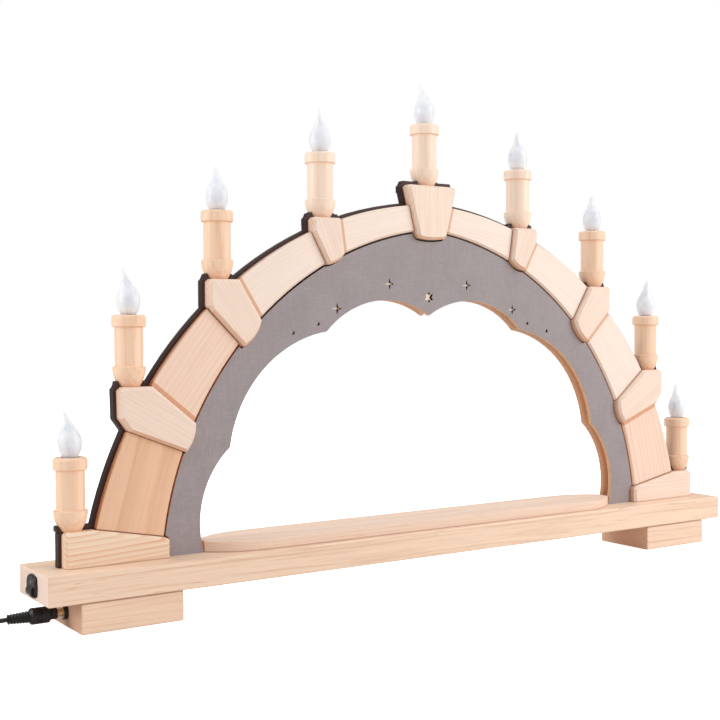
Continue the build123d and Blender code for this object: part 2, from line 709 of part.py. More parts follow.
lean = radians(ROCKER_TILT)
reach = ROCKER_RADIUS
with BuildPart() as switch_rocker:
    with BuildSketch(Plane.XZ.offset(ROCKER_WIDE / 2)):
        with BuildLine():
            low_tip = (rocker_axis_x - reach * sin(2 * lean), SWITCH_Z - reach * cos(2 * lean))
            low_back = (rocker_axis_x + reach * sin(lean), SWITCH_Z - reach * cos(lean))
            top_back = (rocker_axis_x + reach * sin(2 * lean), SWITCH_Z + reach * cos(2 * lean))
            top_tip = (rocker_axis_x, SWITCH_Z + reach)
            Line(top_tip, (rocker_axis_x - ROCKER_STAND, SWITCH_Z))
            Line((rocker_axis_x - ROCKER_STAND, SWITCH_Z), low_tip)
            ThreePointArc(
                low_tip,
                (rocker_axis_x - reach * sin(lean / 2), SWITCH_Z - reach * cos(lean / 2)),
                low_back,
            )
            Line(low_back, (rocker_axis_x + ROCKER_BACK, SWITCH_Z))
            Line((rocker_axis_x + ROCKER_BACK, SWITCH_Z), top_back)
            ThreePointArc(
                top_back,
                (rocker_axis_x + reach * sin(lean), SWITCH_Z + reach * cos(lean)),
                top_tip,
            )
        make_face()
    extrude(amount=-ROCKER_WIDE)
    with BuildSketch(Plane.XZ.offset(ROCKER_WIDE / 2 + ROCKER_PIN_OUT)):
        with Locations((rocker_axis_x, SWITCH_Z)):
            Circle(ROCKER_PIN / 2)
    extrude(amount=-ROCKER_WIDE - 2 * ROCKER_PIN_OUT)
keep(switch_rocker.part, "switch_rocker")


# Power jack: its bush comes through the wall of the foot and carries the nut
bush_end = -FOOT_FACE - JACK_BUSH_OUT
with BuildPart() as jack_body:
    with BuildSketch(Plane.YZ.offset(bush_end)):
        with Locations((0, JACK_Z)):
            Circle(JACK_BUSH / 2)
    extrude(amount=JACK_BUSH_OUT + JACK_WALL)
    with BuildSketch(Plane.YZ.offset(-FOOT_FACE + JACK_WALL)):
        with Locations((0, JACK_Z)):
            Circle(JACK_BODY / 2)
    extrude(amount=JACK_BODY_DEEP)
    with BuildSketch(Plane.YZ.offset(bush_end)):
        with Locations((0, JACK_Z)):
            Circle(BARREL / 2 + BARREL_FIT)
            Circle(JACK_PIN / 2, mode=Mode.SUBTRACT)
    extrude(amount=JACK_BORE_DEEP, mode=Mode.SUBTRACT)
    with BuildSketch(Plane.YZ.offset(bush_end)):
        with Locations((0, JACK_Z)):
            Circle(JACK_PIN / 2)
    extrude(amount=JACK_BUSH_OUT, mode=Mode.SUBTRACT)
keep(jack_body.part, "jack_body")

with BuildPart() as jack_nut:
    with BuildSketch(Plane.YZ.offset(-FOOT_FACE)):
        with Locations((0, JACK_Z)):
            Circle(JACK_NUT / 2)
            Circle(JACK_BUSH / 2 + PIN_FIT, mode=Mode.SUBTRACT)
    extrude(amount=-JACK_NUT_THICK)
    chamfer(jack_nut.faces().sort_by(Axis.X)[0].edges().sort_by(SortBy.RADIUS)[-1], JACK_FIT)
keep(jack_nut.part, "jack_nut")


# Plug: a hollow barrel, a grip with two grooves and a ribbed strain relief
plug_face = bush_end - BARREL_SHOWS
with BuildPart() as plug_barrel:
    with BuildSketch(Plane.YZ.offset(plug_face)):
        with Locations((0, JACK_Z)):
            Circle(BARREL / 2)
            Circle(BARREL_BORE / 2, mode=Mode.SUBTRACT)
    extrude(amount=BARREL_LENGTH)
keep(plug_barrel.part, "plug_barrel")

grip_end = PLUG_NECK_LONG + PLUG_GRIP_LONG
plug_end_x = plug_face - grip_end - RELIEF_LONG
with BuildPart() as plug_body:
    with BuildSketch(Plane((plug_face, 0, JACK_Z), x_dir=(-1, 0, 0), z_dir=(0, 1, 0))):
        with BuildLine():
            groove_at = (PLUG_NECK_LONG + PLUG_GRIP_LONG / 2, PLUG_NECK_LONG + PLUG_GRIP_LONG * 2 / 3)
            points = [
                (0, 0),
                (0, PLUG_NECK / 2),
                (PLUG_NECK_LONG, PLUG_NECK / 2),
                (PLUG_NECK_LONG + PLUG_TAPER, PLUG_GRIP / 2),
            ]
            for groove in groove_at:
                points += [
                    (groove, PLUG_GRIP / 2),
                    (groove, PLUG_GRIP / 2 - GRIP_GROOVE),
                    (groove + GRIP_GROOVE_WIDE, PLUG_GRIP / 2 - GRIP_GROOVE),
                    (groove + GRIP_GROOVE_WIDE, PLUG_GRIP / 2),
                ]
            points += [(grip_end - PLUG_TAPER, PLUG_GRIP / 2), (grip_end, RELIEF_START / 2)]
            rib = RELIEF_LONG / RELIEF_RIBS
            for step in range(RELIEF_RIBS):
                along = grip_end + step * rib
                radius = RELIEF_START / 2 + (RELIEF_END - RELIEF_START) / 2 * (step + 1) / RELIEF_RIBS
                points += [
                    (along + rib / 4, radius - RIB_DEEP),
                    (along + rib / 2, radius - RIB_DEEP),
                    (along + rib * 3 / 4, radius),
                    (along + rib, radius),
                ]
            points += [(grip_end + RELIEF_LONG, 0)]
            Polyline(*points, close=True)
        make_face()
    revolve(axis=Axis((0, 0, JACK_Z), (1, 0, 0)))
keep(plug_body.part, "plug_body")


# Cord: its route is settled by hand, from the strain relief down to the coil
cord_low = CORD / 2 + FLOOR_GAP
coil_outer = COIL_MEAN + COIL_PITCH * COIL_TURNS / 2
coil_inner = coil_outer - COIL_PITCH * COIL_TURNS
coil_total = COIL_LAYERS * COIL_TURNS + COIL_EXTRA_SHARE


def coil_point(turns):
    """Centre of the cord after so many turns, clockwise from the front of the coil."""
    layer = min(int(turns // COIL_TURNS), COIL_LAYERS - 1)
    inside = turns - layer * COIL_TURNS
    radius = coil_outer - COIL_PITCH * inside if layer % 2 == 0 else coil_inner + COIL_PITCH * inside
    climb = 0.0
    for change in range(1, COIL_LAYERS):
        climb += min(max((turns - change * COIL_TURNS) * 2 + 1 / 2, 0), 1)
    turn = -pi / 2 - 2 * pi * turns
    return Vector(
        COIL_CENTRE[0] + radius * cos(turn),
        COIL_CENTRE[1] + radius * sin(turn),
        cord_low + climb * COIL_PITCH,
    )


def coil_heading(turns):
    """Direction of the cord after so many turns, from points just before and after."""
    return (coil_point(turns + COIL_NEAR_SHARE) - coil_point(turns - COIL_NEAR_SHARE)).normalized()


SECTION = pi * CORD**2 / 4
coil_start = coil_point(0)
coil_lead_in = coil_start - coil_heading(0) * COIL_LEAD
LEAD_POINTS = [
    (plug_end_x, 0, JACK_Z),
    (-358.0, 0, JACK_Z),
    (-378.0, -1.5, 6.6),
    (-401.0, -4.5, 2.1),
    (-426.0, -8.0, cord_low),
    (-446.0, -7.0, cord_low),
    tuple(coil_lead_in),
    tuple(coil_start),
]


def route_radii(points):
    """Radius of each corner: a share of the shorter run over the tangent of half the turn."""
    vectors = [Vector(*point) for point in points]
    radii = []
    for before, corner, after in zip(vectors, vectors[1:], vectors[2:]):
        run_in = corner - before
        run_out = after - corner
        turn = radians(run_in.get_angle(run_out))
        shorter = min(run_in.length, run_out.length)
        radii.append(CORNER_SHARE * shorter / tan(turn / 2))
    return radii


def cord_run(points, name):
    """One free stretch of the cord: straight runs joined by arcs, with square ends."""
    radii = route_radii(points)
    with BuildPart() as run:
        with BuildLine() as route:
            FilletPolyline(*points, radius=radii)
        with BuildSketch(Plane(points[0], z_dir=route.wire() % 0)):
            Circle(CORD / 2)
        sweep()
    print(name, "radii", [round(radius, 1) for radius in radii])
    print(name, "volume share", run.part.volume / (SECTION * route.wire().length))
    keep(run.part, name)


cord_run(LEAD_POINTS, "cord_lead")


def biarc(start, start_way, end, end_way):
    """Two arcs that join two points with given directions at both."""
    span = end - start
    both = start_way + end_way
    slack = 2 * (1 - start_way.dot(end_way))
    along = span.dot(both)
    reach = (sqrt(along**2 + slack * span.dot(span)) - along) / slack
    middle = (start + end + (start_way - end_way) * reach) / 2
    middle_way = (end - end_way * reach) - (start + start_way * reach)
    TangentArc(start, middle, tangent=start_way)
    TangentArc(middle, end, tangent=middle_way)


coil_steps = int(COIL_ARCS * coil_total)
with BuildPart() as cord_coil:
    with BuildLine() as coil_line:
        for step in range(coil_steps):
            here = step / COIL_ARCS
            there = (step + 1) / COIL_ARCS
            biarc(coil_point(here), coil_heading(here), coil_point(there), coil_heading(there))
    with BuildSketch(Plane(coil_point(0), z_dir=coil_heading(0))):
        Circle(CORD / 2)
    sweep()
coil_wire = coil_line.wire()
print("cord_coil volume share", cord_coil.part.volume / (SECTION * coil_wire.length))
print("cord_coil length", coil_wire.length)
sample_count = coil_steps * COIL_SAMPLES
samples = [coil_wire @ (step / sample_count) for step in range(sample_count + 1)]
skip = int(pi * coil_inner * sample_count / coil_wire.length)
least = min(
    (first - second).length
    for index, first in enumerate(samples)
    for second in samples[index + skip:]
)
print("cord_coil least gap", least - CORD)
keep(cord_coil.part, "cord_coil")


# Tail of the cord from the coil to the adapter, and the adapter with its two pins
coil_end = coil_point(coil_total)
tail_out = coil_end + coil_heading(coil_total) * COIL_TAIL
relief_x = COIL_CENTRE[0] + coil_outer + CORD
adapter_low_x = relief_x + ADAPTER_RELIEF_LONG
TAIL_POINTS = [
    tuple(coil_end),
    tuple(tail_out),
    (-456.0, 46.6, ADAPTER[2] / 2),
    (relief_x, 46.6, ADAPTER[2] / 2),
]
cord_run(TAIL_POINTS, "cord_tail")

adapter_y = TAIL_POINTS[-1][1]
adapter_x = adapter_low_x + ADAPTER[0] / 2
pin_x = adapter_low_x + ADAPTER[0] - PIN_FROM_END
with BuildPart() as power_adapter:
    with Locations((adapter_x, adapter_y, ADAPTER[2] / 2)):
        Box(*ADAPTER)
    fillet(power_adapter.edges(), ADAPTER_ROUND)
    with BuildSketch(Plane.XY.offset(ADAPTER[2])):
        with Locations((pin_x, adapter_y)):
            SlotOverall(ADAPTER_BASE[0], ADAPTER_BASE[1], rotation=90)
    extrude(amount=ADAPTER_BASE_TALL)
    with BuildSketch(Plane.YZ.offset(adapter_low_x)):
        with Locations((adapter_y, ADAPTER[2] / 2)):
            Circle(ADAPTER_RELIEF / 2)
    with BuildSketch(Plane.YZ.offset(relief_x)):
        with Locations((adapter_y, ADAPTER[2] / 2)):
            Circle(ADAPTER_RELIEF_END / 2)
    loft()
    with BuildSketch(Plane.XY.offset(ADAPTER[2] + ADAPTER_BASE_TALL)):
        with Locations((pin_x, adapter_y)):
            with GridLocations(0, PIN_SPACING, 1, 2):
                Circle(PIN / 2 + PIN_FIT)
    extrude(amount=-PIN_SEAT, mode=Mode.SUBTRACT)
keep(power_adapter.part, "power_adapter")

with BuildPart() as adapter_pins:
    with BuildSketch(Plane.XY.offset(ADAPTER[2] + ADAPTER_BASE_TALL - PIN_SEAT)):
        with Locations((pin_x, adapter_y)):
            with GridLocations(0, PIN_SPACING, 1, 2):
                Circle(PIN / 2)
    extrude(amount=PIN_SEAT + PIN_LONG)
keep(adapter_pins.part, "adapter_pins")
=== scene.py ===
"""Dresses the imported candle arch: its turned candles, laser-cut plates, pine stones and lead."""
from __future__ import annotations

import logging
import math
from collections.abc import Callable
from dataclasses import dataclass, replace
from enum import Enum

import bmesh
import bpy
import numpy as np
from bpy.types import ID, Material, Mesh, Node, NodeSocket, NodeTree, Object
from mathutils import Matrix, Vector

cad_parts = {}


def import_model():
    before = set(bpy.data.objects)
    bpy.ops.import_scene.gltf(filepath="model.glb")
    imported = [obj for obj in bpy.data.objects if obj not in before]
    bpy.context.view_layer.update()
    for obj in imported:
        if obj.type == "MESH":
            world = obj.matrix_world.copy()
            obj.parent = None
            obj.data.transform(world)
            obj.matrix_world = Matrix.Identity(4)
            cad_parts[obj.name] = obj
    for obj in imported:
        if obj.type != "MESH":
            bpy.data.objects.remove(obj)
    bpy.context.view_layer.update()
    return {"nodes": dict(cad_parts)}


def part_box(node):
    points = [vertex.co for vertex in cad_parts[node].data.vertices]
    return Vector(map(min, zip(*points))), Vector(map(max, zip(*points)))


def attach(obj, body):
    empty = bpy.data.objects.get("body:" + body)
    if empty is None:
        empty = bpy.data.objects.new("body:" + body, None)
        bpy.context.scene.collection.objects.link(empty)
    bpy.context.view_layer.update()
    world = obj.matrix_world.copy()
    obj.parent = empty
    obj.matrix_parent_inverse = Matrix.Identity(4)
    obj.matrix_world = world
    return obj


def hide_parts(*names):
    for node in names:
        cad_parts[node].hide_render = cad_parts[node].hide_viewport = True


log = logging.getLogger("candle_arch")

MM = 0.001
Triple = tuple[float, float, float]
Shade = tuple[float, float, float, float]
Plane = tuple[Triple, float]
# Warm dark tint of the painted shade on wood.
SHADE_TINT: Shade = (0.76, 0.5, 0.33, 1.0)
# Dark tint of the painted shade in the joints between pieces.
SEAM_SHADE_TINT: Shade = (0.27, 0.14, 0.09, 1.0)
BLACK: Shade = (0.0, 0.0, 0.0, 1.0)
WHITE: Shade = (1.0, 1.0, 1.0, 1.0)


def shade(*tone: int) -> Shade:
    """Linear colour of a tone given as it looks on a screen.

    Args:
        tone: red, green and blue from 0 to 255.

    Returns:
        The colour as Blender's shaders read it, with alpha 1.
    """
    shares = np.array(tone) / 255
    linear = np.where(shares <= 0.04045, shares / 12.92, ((shares + 0.055) / 1.055) ** 2.4)
    return (*linear.tolist(), 1.0)


class Figure(Enum):
    """Which way the grain of a wooden piece runs."""

    LONG = 0.0
    UPRIGHT = 90.0


class Graph:
    """A hand for building one node tree."""

    def __init__(self, tree: NodeTree) -> None:
        """Start with an empty tree.

        Args:
            tree: the node tree of a material, a world or a group.
        """
        self.tree = tree
        tree.nodes.clear()

    def add(self, kind: str, inputs: dict | None = None, **settings: object) -> Node:
        """Add a node, set its properties and feed its inputs.

        Args:
            kind: the node's type name without its ShaderNode prefix.
            inputs: values or sockets by input name or index.
            settings: properties of the node.

        Returns:
            The new node.
        """
        full = kind if kind.startswith("Node") else f"ShaderNode{kind}"
        node = self.tree.nodes.new(full)
        for name, value in settings.items():
            setattr(node, name, value)
        for name, value in (inputs or {}).items():
            self.feed(node.inputs[name], value)
        return node

    def feed(self, socket: NodeSocket, value: object) -> None:
        """Link a socket to another, or set its own value.

        Args:
            socket: the input to feed.
            value: an output socket or a plain value.
        """
        if isinstance(value, NodeSocket):
            self.tree.links.new(value, socket)
        else:
            socket.default_value = value

    def math(
        self, operation: str, first: object, second: object = 0.0, clamp: bool = False
    ) -> NodeSocket:
        """Result of one sum of two values."""
        node = self.add("Math", {0: first, 1: second}, operation=operation, use_clamp=clamp)
        return node.outputs[0]

    def plus(self, first: object, second: object, clamp: bool = False) -> NodeSocket:
        """One value and another."""
        return self.math("ADD", first, second, clamp)

    def times(self, first: object, second: object) -> NodeSocket:
        """One value times another."""
        return self.math("MULTIPLY", first, second)

    def vector(self, operation: str, first: object, second: object = (0.0, 0.0, 0.0)) -> Node:
        """Node of one sum of two vectors."""
        return self.add("VectorMath", {0: first, 1: second}, operation=operation)

    def stretch(self, point: object, shares: Triple) -> NodeSocket:
        """A point with each of its coordinates times a share."""
        return self.vector("MULTIPLY", point, shares).outputs[0]

    def step(
        self, value: object, low: float, high: float, to_low: float = 0.0, to_high: float = 1.0
    ) -> NodeSocket:
        """A soft step from one level to another as the value goes from low to high."""
        sockets = {
            "Value": value, "From Min": low, "From Max": high, "To Min": to_low, "To Max": to_high,
        }
        return self.add("MapRange", sockets, interpolation_type="SMOOTHSTEP").outputs["Result"]

    def mix(self, factor: object, first: object, second: object, blend: str = "MIX") -> NodeSocket:
        """Colour between two colours."""
        node = self.add("Mix", {0: factor, 6: first, 7: second}, data_type="RGBA", blend_type=blend)
        return node.outputs[2]

    def noise(self, point: object, scale: float, detail: float = 2.0) -> NodeSocket:
        """Noise from 0 to 1 over a point in space."""
        node = self.add("TexNoise", {"Vector": point, "Scale": scale, "Detail": detail})
        return node.outputs[0]

    def spread(self, value: object, amount: float) -> NodeSocket:
        """A factor round 1, made from noise round a half."""
        return self.plus(self.times(self.math("SUBTRACT", value, 0.5), amount), 1.0)

    def tint(self, colour: object, factor: object) -> NodeSocket:
        """A colour or a point times a factor."""
        node = self.add("VectorMath", {0: colour, "Scale": factor}, operation="SCALE")
        return node.outputs[0]


def group_graph(
    name: str, takes: dict[str, str], gives: dict[str, str]
) -> tuple[Graph, Node, Node]:
    """Start a shader node group with named sockets.

    Args:
        name: the group's name.
        takes: socket kind by input name.
        gives: socket kind by output name.

    Returns:
        The graph, its input node and its output node.
    """
    tree = bpy.data.node_groups.new(name, "ShaderNodeTree")
    for side, sockets in (("INPUT", takes), ("OUTPUT", gives)):
        for label, kind in sockets.items():
            tree.interface.new_socket(name=label, in_out=side, socket_type=f"NodeSocket{kind}")
    graph = Graph(tree)
    return graph, graph.add("NodeGroupInput"), graph.add("NodeGroupOutput")


class Effects:
    """Shader node groups that several finishes share."""

    def __init__(self) -> None:
        """Build each group once."""
        self.wood = self.wood_figure()
        self.surface = self.fine_surface()

    @staticmethod
    def wood_figure() -> NodeTree:
        """Growth rings, fibres and end grain of solid wood.

        The grain runs along X and the pith lies on the X axis. The distance from it, plus noise
        stretched along the grain, is divided by the ring width, and the fraction of that rises
        slowly and falls fast, as late wood does.

        Returns:
            The node group.
        """
        graph, takes, gives = group_graph(
            "wood_figure",
            {"Point": "Vector", "Facing": "Vector", "Ring Width": "Float", "Wander": "Float"},
            {"Late": "Float", "Fibre": "Float", "Fleck": "Float", "End": "Float", "Tone": "Float"},
        )
        point = takes.outputs["Point"]
        slow = graph.stretch(point, (0.1, 1.0, 1.0))
        wander = graph.math("SUBTRACT", graph.noise(slow, 26.0), 0.5)
        across = graph.stretch(point, (0.0, 1.0, 1.0))
        distance = graph.vector("LENGTH", across).outputs["Value"]
        distance = graph.plus(distance, graph.times(wander, takes.outputs["Wander"]))
        phase = graph.math("DIVIDE", distance, takes.outputs["Ring Width"])
        ripple = graph.math("SUBTRACT", graph.noise(slow, 140.0, 1.0), 0.5)
        phase = graph.plus(phase, graph.times(ripple, 0.5))
        rise = graph.math("FRACT", phase)
        late = graph.times(graph.math("POWER", rise, 2.2), graph.step(rise, 1.0, 0.86))
        year = graph.add("TexWhiteNoise", {"W": graph.math("FLOOR", phase)}, noise_dimensions="1D")
        strength = graph.math("MULTIPLY_ADD", year.outputs["Value"], 0.6)
        strength.node.inputs[2].default_value = 0.4
        fine = graph.stretch(point, (0.03, 1.0, 1.0))
        broad = graph.stretch(point, (0.02, 1.0, 1.0))
        both = graph.plus(graph.noise(fine, 850.0, 3.0), graph.noise(broad, 340.0, 3.0))
        short = graph.stretch(point, (0.07, 1.0, 1.0))
        turned = graph.add("SeparateXYZ", {0: takes.outputs["Facing"]})
        for name, value in (
            ("Late", graph.times(late, strength)),
            ("Fibre", graph.step(both, 0.6, 1.4)),
            ("Fleck", graph.step(graph.noise(short, 620.0, 1.0), 0.63, 0.76)),
            ("End", graph.step(graph.math("ABSOLUTE", turned.outputs["X"]), 0.6, 0.95)),
            ("Tone", graph.noise(slow, 11.0, 1.0)),
        ):
            graph.feed(gives.inputs[name], value)
        return graph.tree

    @staticmethod
    def fine_surface() -> NodeTree:
        """Mottle and fine grit of a stained, moulded or plated surface.

        Mottle is slow noise, and grit is fast noise, both over a point.

        Returns:
            The node group.
        """
        graph, takes, gives = group_graph(
            "fine_surface",
            {"Point": "Vector", "Size": "Float"},
            {"Mottle": "Float", "Grit": "Float"},
        )
        scaled = graph.tint(takes.outputs["Point"], takes.outputs["Size"])
        graph.feed(gives.inputs["Mottle"], graph.noise(scaled, 40.0, 3.0))
        graph.feed(gives.inputs["Grit"], graph.noise(scaled, 900.0))
        return graph.tree


class Surface:
    """One material under way: its graph, its shader and its place and facing."""

    def __init__(self, name: str, effects: Effects) -> None:
        """Start a material with one Principled shader.

        Args:
            name: the material's name.
            effects: the shared node groups.
        """
        self.material = bpy.data.materials.new(name)
        self.material.use_nodes = True
        self.effects = effects
        self.graph = Graph(self.material.node_tree)
        output = self.graph.add("OutputMaterial")
        self.shader = self.graph.add("BsdfPrincipled")
        self.graph.feed(output.inputs["Surface"], self.shader.outputs["BSDF"])
        place = self.graph.add("TexCoord")
        self.point = place.outputs["Object"]
        self.facing = place.outputs["Normal"]

    def call(self, tree: NodeTree, **inputs: object) -> Node:
        """Place a node group, with underscores in the input names read as blanks."""
        node = self.graph.add("Group", node_tree=tree)
        for name, value in inputs.items():
            self.graph.feed(node.inputs[name.replace("_", " ")], value)
        return node

    def give(self, name: str, value: object) -> None:
        """Feed one of the shader's inputs."""
        self.graph.feed(self.shader.inputs[name], value)

    def roughen(
        self, value: object, span: tuple[float, float], middle: float, apart: tuple[float, float]
    ) -> None:
        """Roughen the surface as a value rises.

        Args:
            value: the socket that it follows.
            span: the values between which it changes.
            middle: the usual roughness.
            apart: how far below and above it the roughness goes.
        """
        ends = (middle - apart[0], middle + apart[1])
        self.give("Roughness", self.graph.step(value, *span, *ends))

    def bump(self, height: object, strength: float, distance: float) -> None:
        """Raise the surface by a height.

        Args:
            height: the socket that gives the height.
            strength: how much of it shows.
            distance: what a height of 1 means, in metres.
        """
        sockets = {"Height": height, "Strength": strength, "Distance": distance}
        self.give("Normal", self.graph.add("Bump", sockets).outputs["Normal"])


@dataclass(frozen=True)
class Grain:
    """How the wood lies in one piece.

    The grain runs in the arch plane at angle degrees from X towards Z. The pith passes the piece's
    middle at (back, down): so many millimetres behind it and below it, across the grain.
    """

    angle: float
    back: float
    down: float


@dataclass(frozen=True)
class WoodFinish:
    """Plain wood from the saw and the sander, with painted shade where it faces down, on its side
    walls and along its seams, with lengths in mm.
    """

    early: Shade
    late: Shade
    end: Shade
    ring: float = 2.4
    wander: float = 9.0
    late_share: float = 0.5
    fibre_share: float = 0.26
    fleck_share: float = 0.25
    tone_share: float = 0.08
    end_share: float = 0.5
    under_shade_share: float = 0.35
    side_shade_share: float = 0.0
    seam: float = 1.2
    seam_shade_share: float = 0.95
    shadow: float = 4.4
    shadow_share: float = 0.85
    left_facing: float = -0.3
    roughness: float = 0.5

    def make(
        self, name: str, effects: Effects, grain: Grain, middle: Vector, seams: list[Plane],
    ) -> Material:
        """Build the material of one piece.

        Args:
            name: the material's name.
            effects: the shared node groups.
            grain: how the wood lies in the piece.
            middle: the middle of the piece, in metres.
            seams: planes where the piece meets its neighbours, along which painted shade darkens
                it, with a wider painted shadow where its own wall there faces left.

        Returns:
            The material.
        """
        surface = Surface(name, effects)
        graph = surface.graph
        turn = math.radians(grain.angle)
        across = Vector((-math.sin(turn), 0.0, math.cos(turn)))
        pith = middle + Vector((0.0, grain.back * MM, 0.0)) - across * (grain.down * MM)
        rotation = (0.0, -turn, 0.0)
        placing = {"Vector": surface.point, "Location": tuple(pith), "Rotation": rotation}
        place = graph.add("Mapping", placing, vector_type="TEXTURE")
        turning = {"Vector": surface.facing, "Rotation": rotation}
        facing = graph.add("Mapping", turning, vector_type="TEXTURE")
        figure = surface.call(
            effects.wood, Point=place.outputs[0], Facing=facing.outputs[0],
            Ring_Width=self.ring * MM, Wander=self.wander * MM,
        ).outputs
        fibre = graph.times(graph.math("SUBTRACT", figure["Fibre"], 0.5), self.fibre_share)
        dark = graph.plus(graph.times(figure["Late"], self.late_share), fibre, clamp=True)
        fleck = graph.times(figure["Fleck"], self.fleck_share)
        dark = graph.math("MAXIMUM", dark, fleck, clamp=True)
        colour = graph.mix(dark, self.early, self.late)
        colour = graph.mix(graph.times(figure["End"], self.end_share), colour, self.end)
        colour = graph.tint(colour, graph.spread(figure["Tone"], self.tone_share * 2))
        turned = graph.add("SeparateXYZ", {0: surface.facing}).outputs
        # Painted shade: faces that turn down, and walls that face sideways, take the warm dark
        # shade tint.
        under = graph.times(graph.step(turned["Z"], -0.1, -0.7), self.under_shade_share)
        side = graph.step(graph.math("ABSOLUTE", turned["Y"]), 0.6, 0.25)
        painted_shade = graph.math("MAXIMUM", under, graph.times(side, self.side_shade_share))
        colour = graph.mix(painted_shade, colour, SHADE_TINT, "MULTIPLY")
        seam, wide = self.seam * MM, self.shadow * MM
        # Painted shade along each seam: a narrow dark line in the joint, and a wider painted shadow
        # beside it where the piece's own wall there faces left.
        for normal, offset in seams:
            level = graph.vector("DOT_PRODUCT", surface.point, normal).outputs["Value"]
            apart = graph.math("ABSOLUTE", graph.math("SUBTRACT", level, offset))
            line = graph.step(apart, seam, seam * 0.3, 0.0, self.seam_shade_share)
            if normal[0] < self.left_facing:
                shadow = graph.step(apart, wide, wide * 0.8, 0.0, self.shadow_share)
                colour = graph.mix(shadow, colour, SHADE_TINT, "MULTIPLY")
            colour = graph.mix(line, colour, SEAM_SHADE_TINT, "MULTIPLY")
        surface.give("Base Color", colour)
        surface.roughen(figure["Fibre"], (0.2, 0.8), self.roughness, (0.06, 0.08))
        height = graph.plus(figure["Fibre"], graph.times(figure["Late"], 0.5))
        surface.bump(height, 0.35, 0.12 * MM)
        return surface.material


BOARD_WOOD = WoodFinish(
    early=shade(253, 224, 199), late=shade(206, 150, 108), end=shade(255, 230, 216),
    ring=3.1, wander=16, fibre_share=0.5, fleck_share=0.5, end_share=0.85,
    seam_shade_share=0.5,
)
FOOT_WOOD = WoodFinish(
    early=shade(252, 221, 196), late=shade(206, 150, 112), end=shade(214, 166, 138),
    ring=3.4, wander=14, late_share=0.6, fibre_share=0.4, fleck_share=0.12, end_share=0.6,
    seam_shade_share=0.6,
)
PLATFORM_WOOD = WoodFinish(
    early=shade(250, 222, 202), late=shade(222, 174, 140), end=shade(226, 186, 158), ring=2.2,
    fleck_share=0.35, seam_shade_share=0.5,
)
STONE_WOOD = WoodFinish(
    early=shade(253, 230, 214), late=shade(234, 190, 158), end=shade(246, 214, 192), ring=2.6,
    fibre_share=0.35, fleck_share=0.2, under_shade_share=0.65, side_shade_share=0.4, seam_shade_share=0.5,
)
STRIPED_WOOD = WoodFinish(
    early=shade(255, 231, 206), late=shade(226, 148, 88), end=shade(246, 208, 170), ring=3.5,
    wander=5, late_share=1.0, fleck_share=0.1, seam_shade_share=0.5,
)
WARM_WOOD = WoodFinish(
    early=shade(250, 206, 172), late=shade(222, 164, 122), end=shade(232, 184, 146), ring=19,
    wander=20, late_share=0.6, fleck_share=0.1, tone_share=0.25, side_shade_share=0.9, roughness=0.36,
)
PALE_WOOD = WoodFinish(
    early=shade(255, 237, 224), late=shade(240, 202, 172), end=shade(246, 216, 190), ring=2.8,
    late_share=0.36, fleck_share=0.15, side_shade_share=0.5,
)
CANDLE_WOOD = WoodFinish(
    early=shade(254, 219, 190), late=shade(222, 160, 112), end=shade(244, 202, 168), ring=1.9,
    wander=4, late_share=0.4, fibre_share=0.3, fleck_share=0.2, end_share=0.35, roughness=0.42,
)
# Painted light: a lighter copy of the candle wood, which stands in for the brighter light on the
# middle candles.
CANDLE_WOOD_LIT = replace(
    CANDLE_WOOD, early=shade(255, 233, 214), late=shade(236, 184, 146), end=shade(250, 218, 192),
)
ROSY_WOOD = WoodFinish(
    early=shade(254, 223, 202), late=shade(226, 172, 134), end=shade(240, 204, 176), ring=3.6,
    wander=16, fleck_share=0.12, under_shade_share=0.6, side_shade_share=0.9,
)
FINE_WOOD = WoodFinish(
    early=shade(254, 232, 214), late=shade(228, 182, 146), end=shade(246, 216, 192), ring=1.5,
    wander=5, late_share=0.55, fleck_share=0.1, under_shade_share=0.65, side_shade_share=0.4,
)


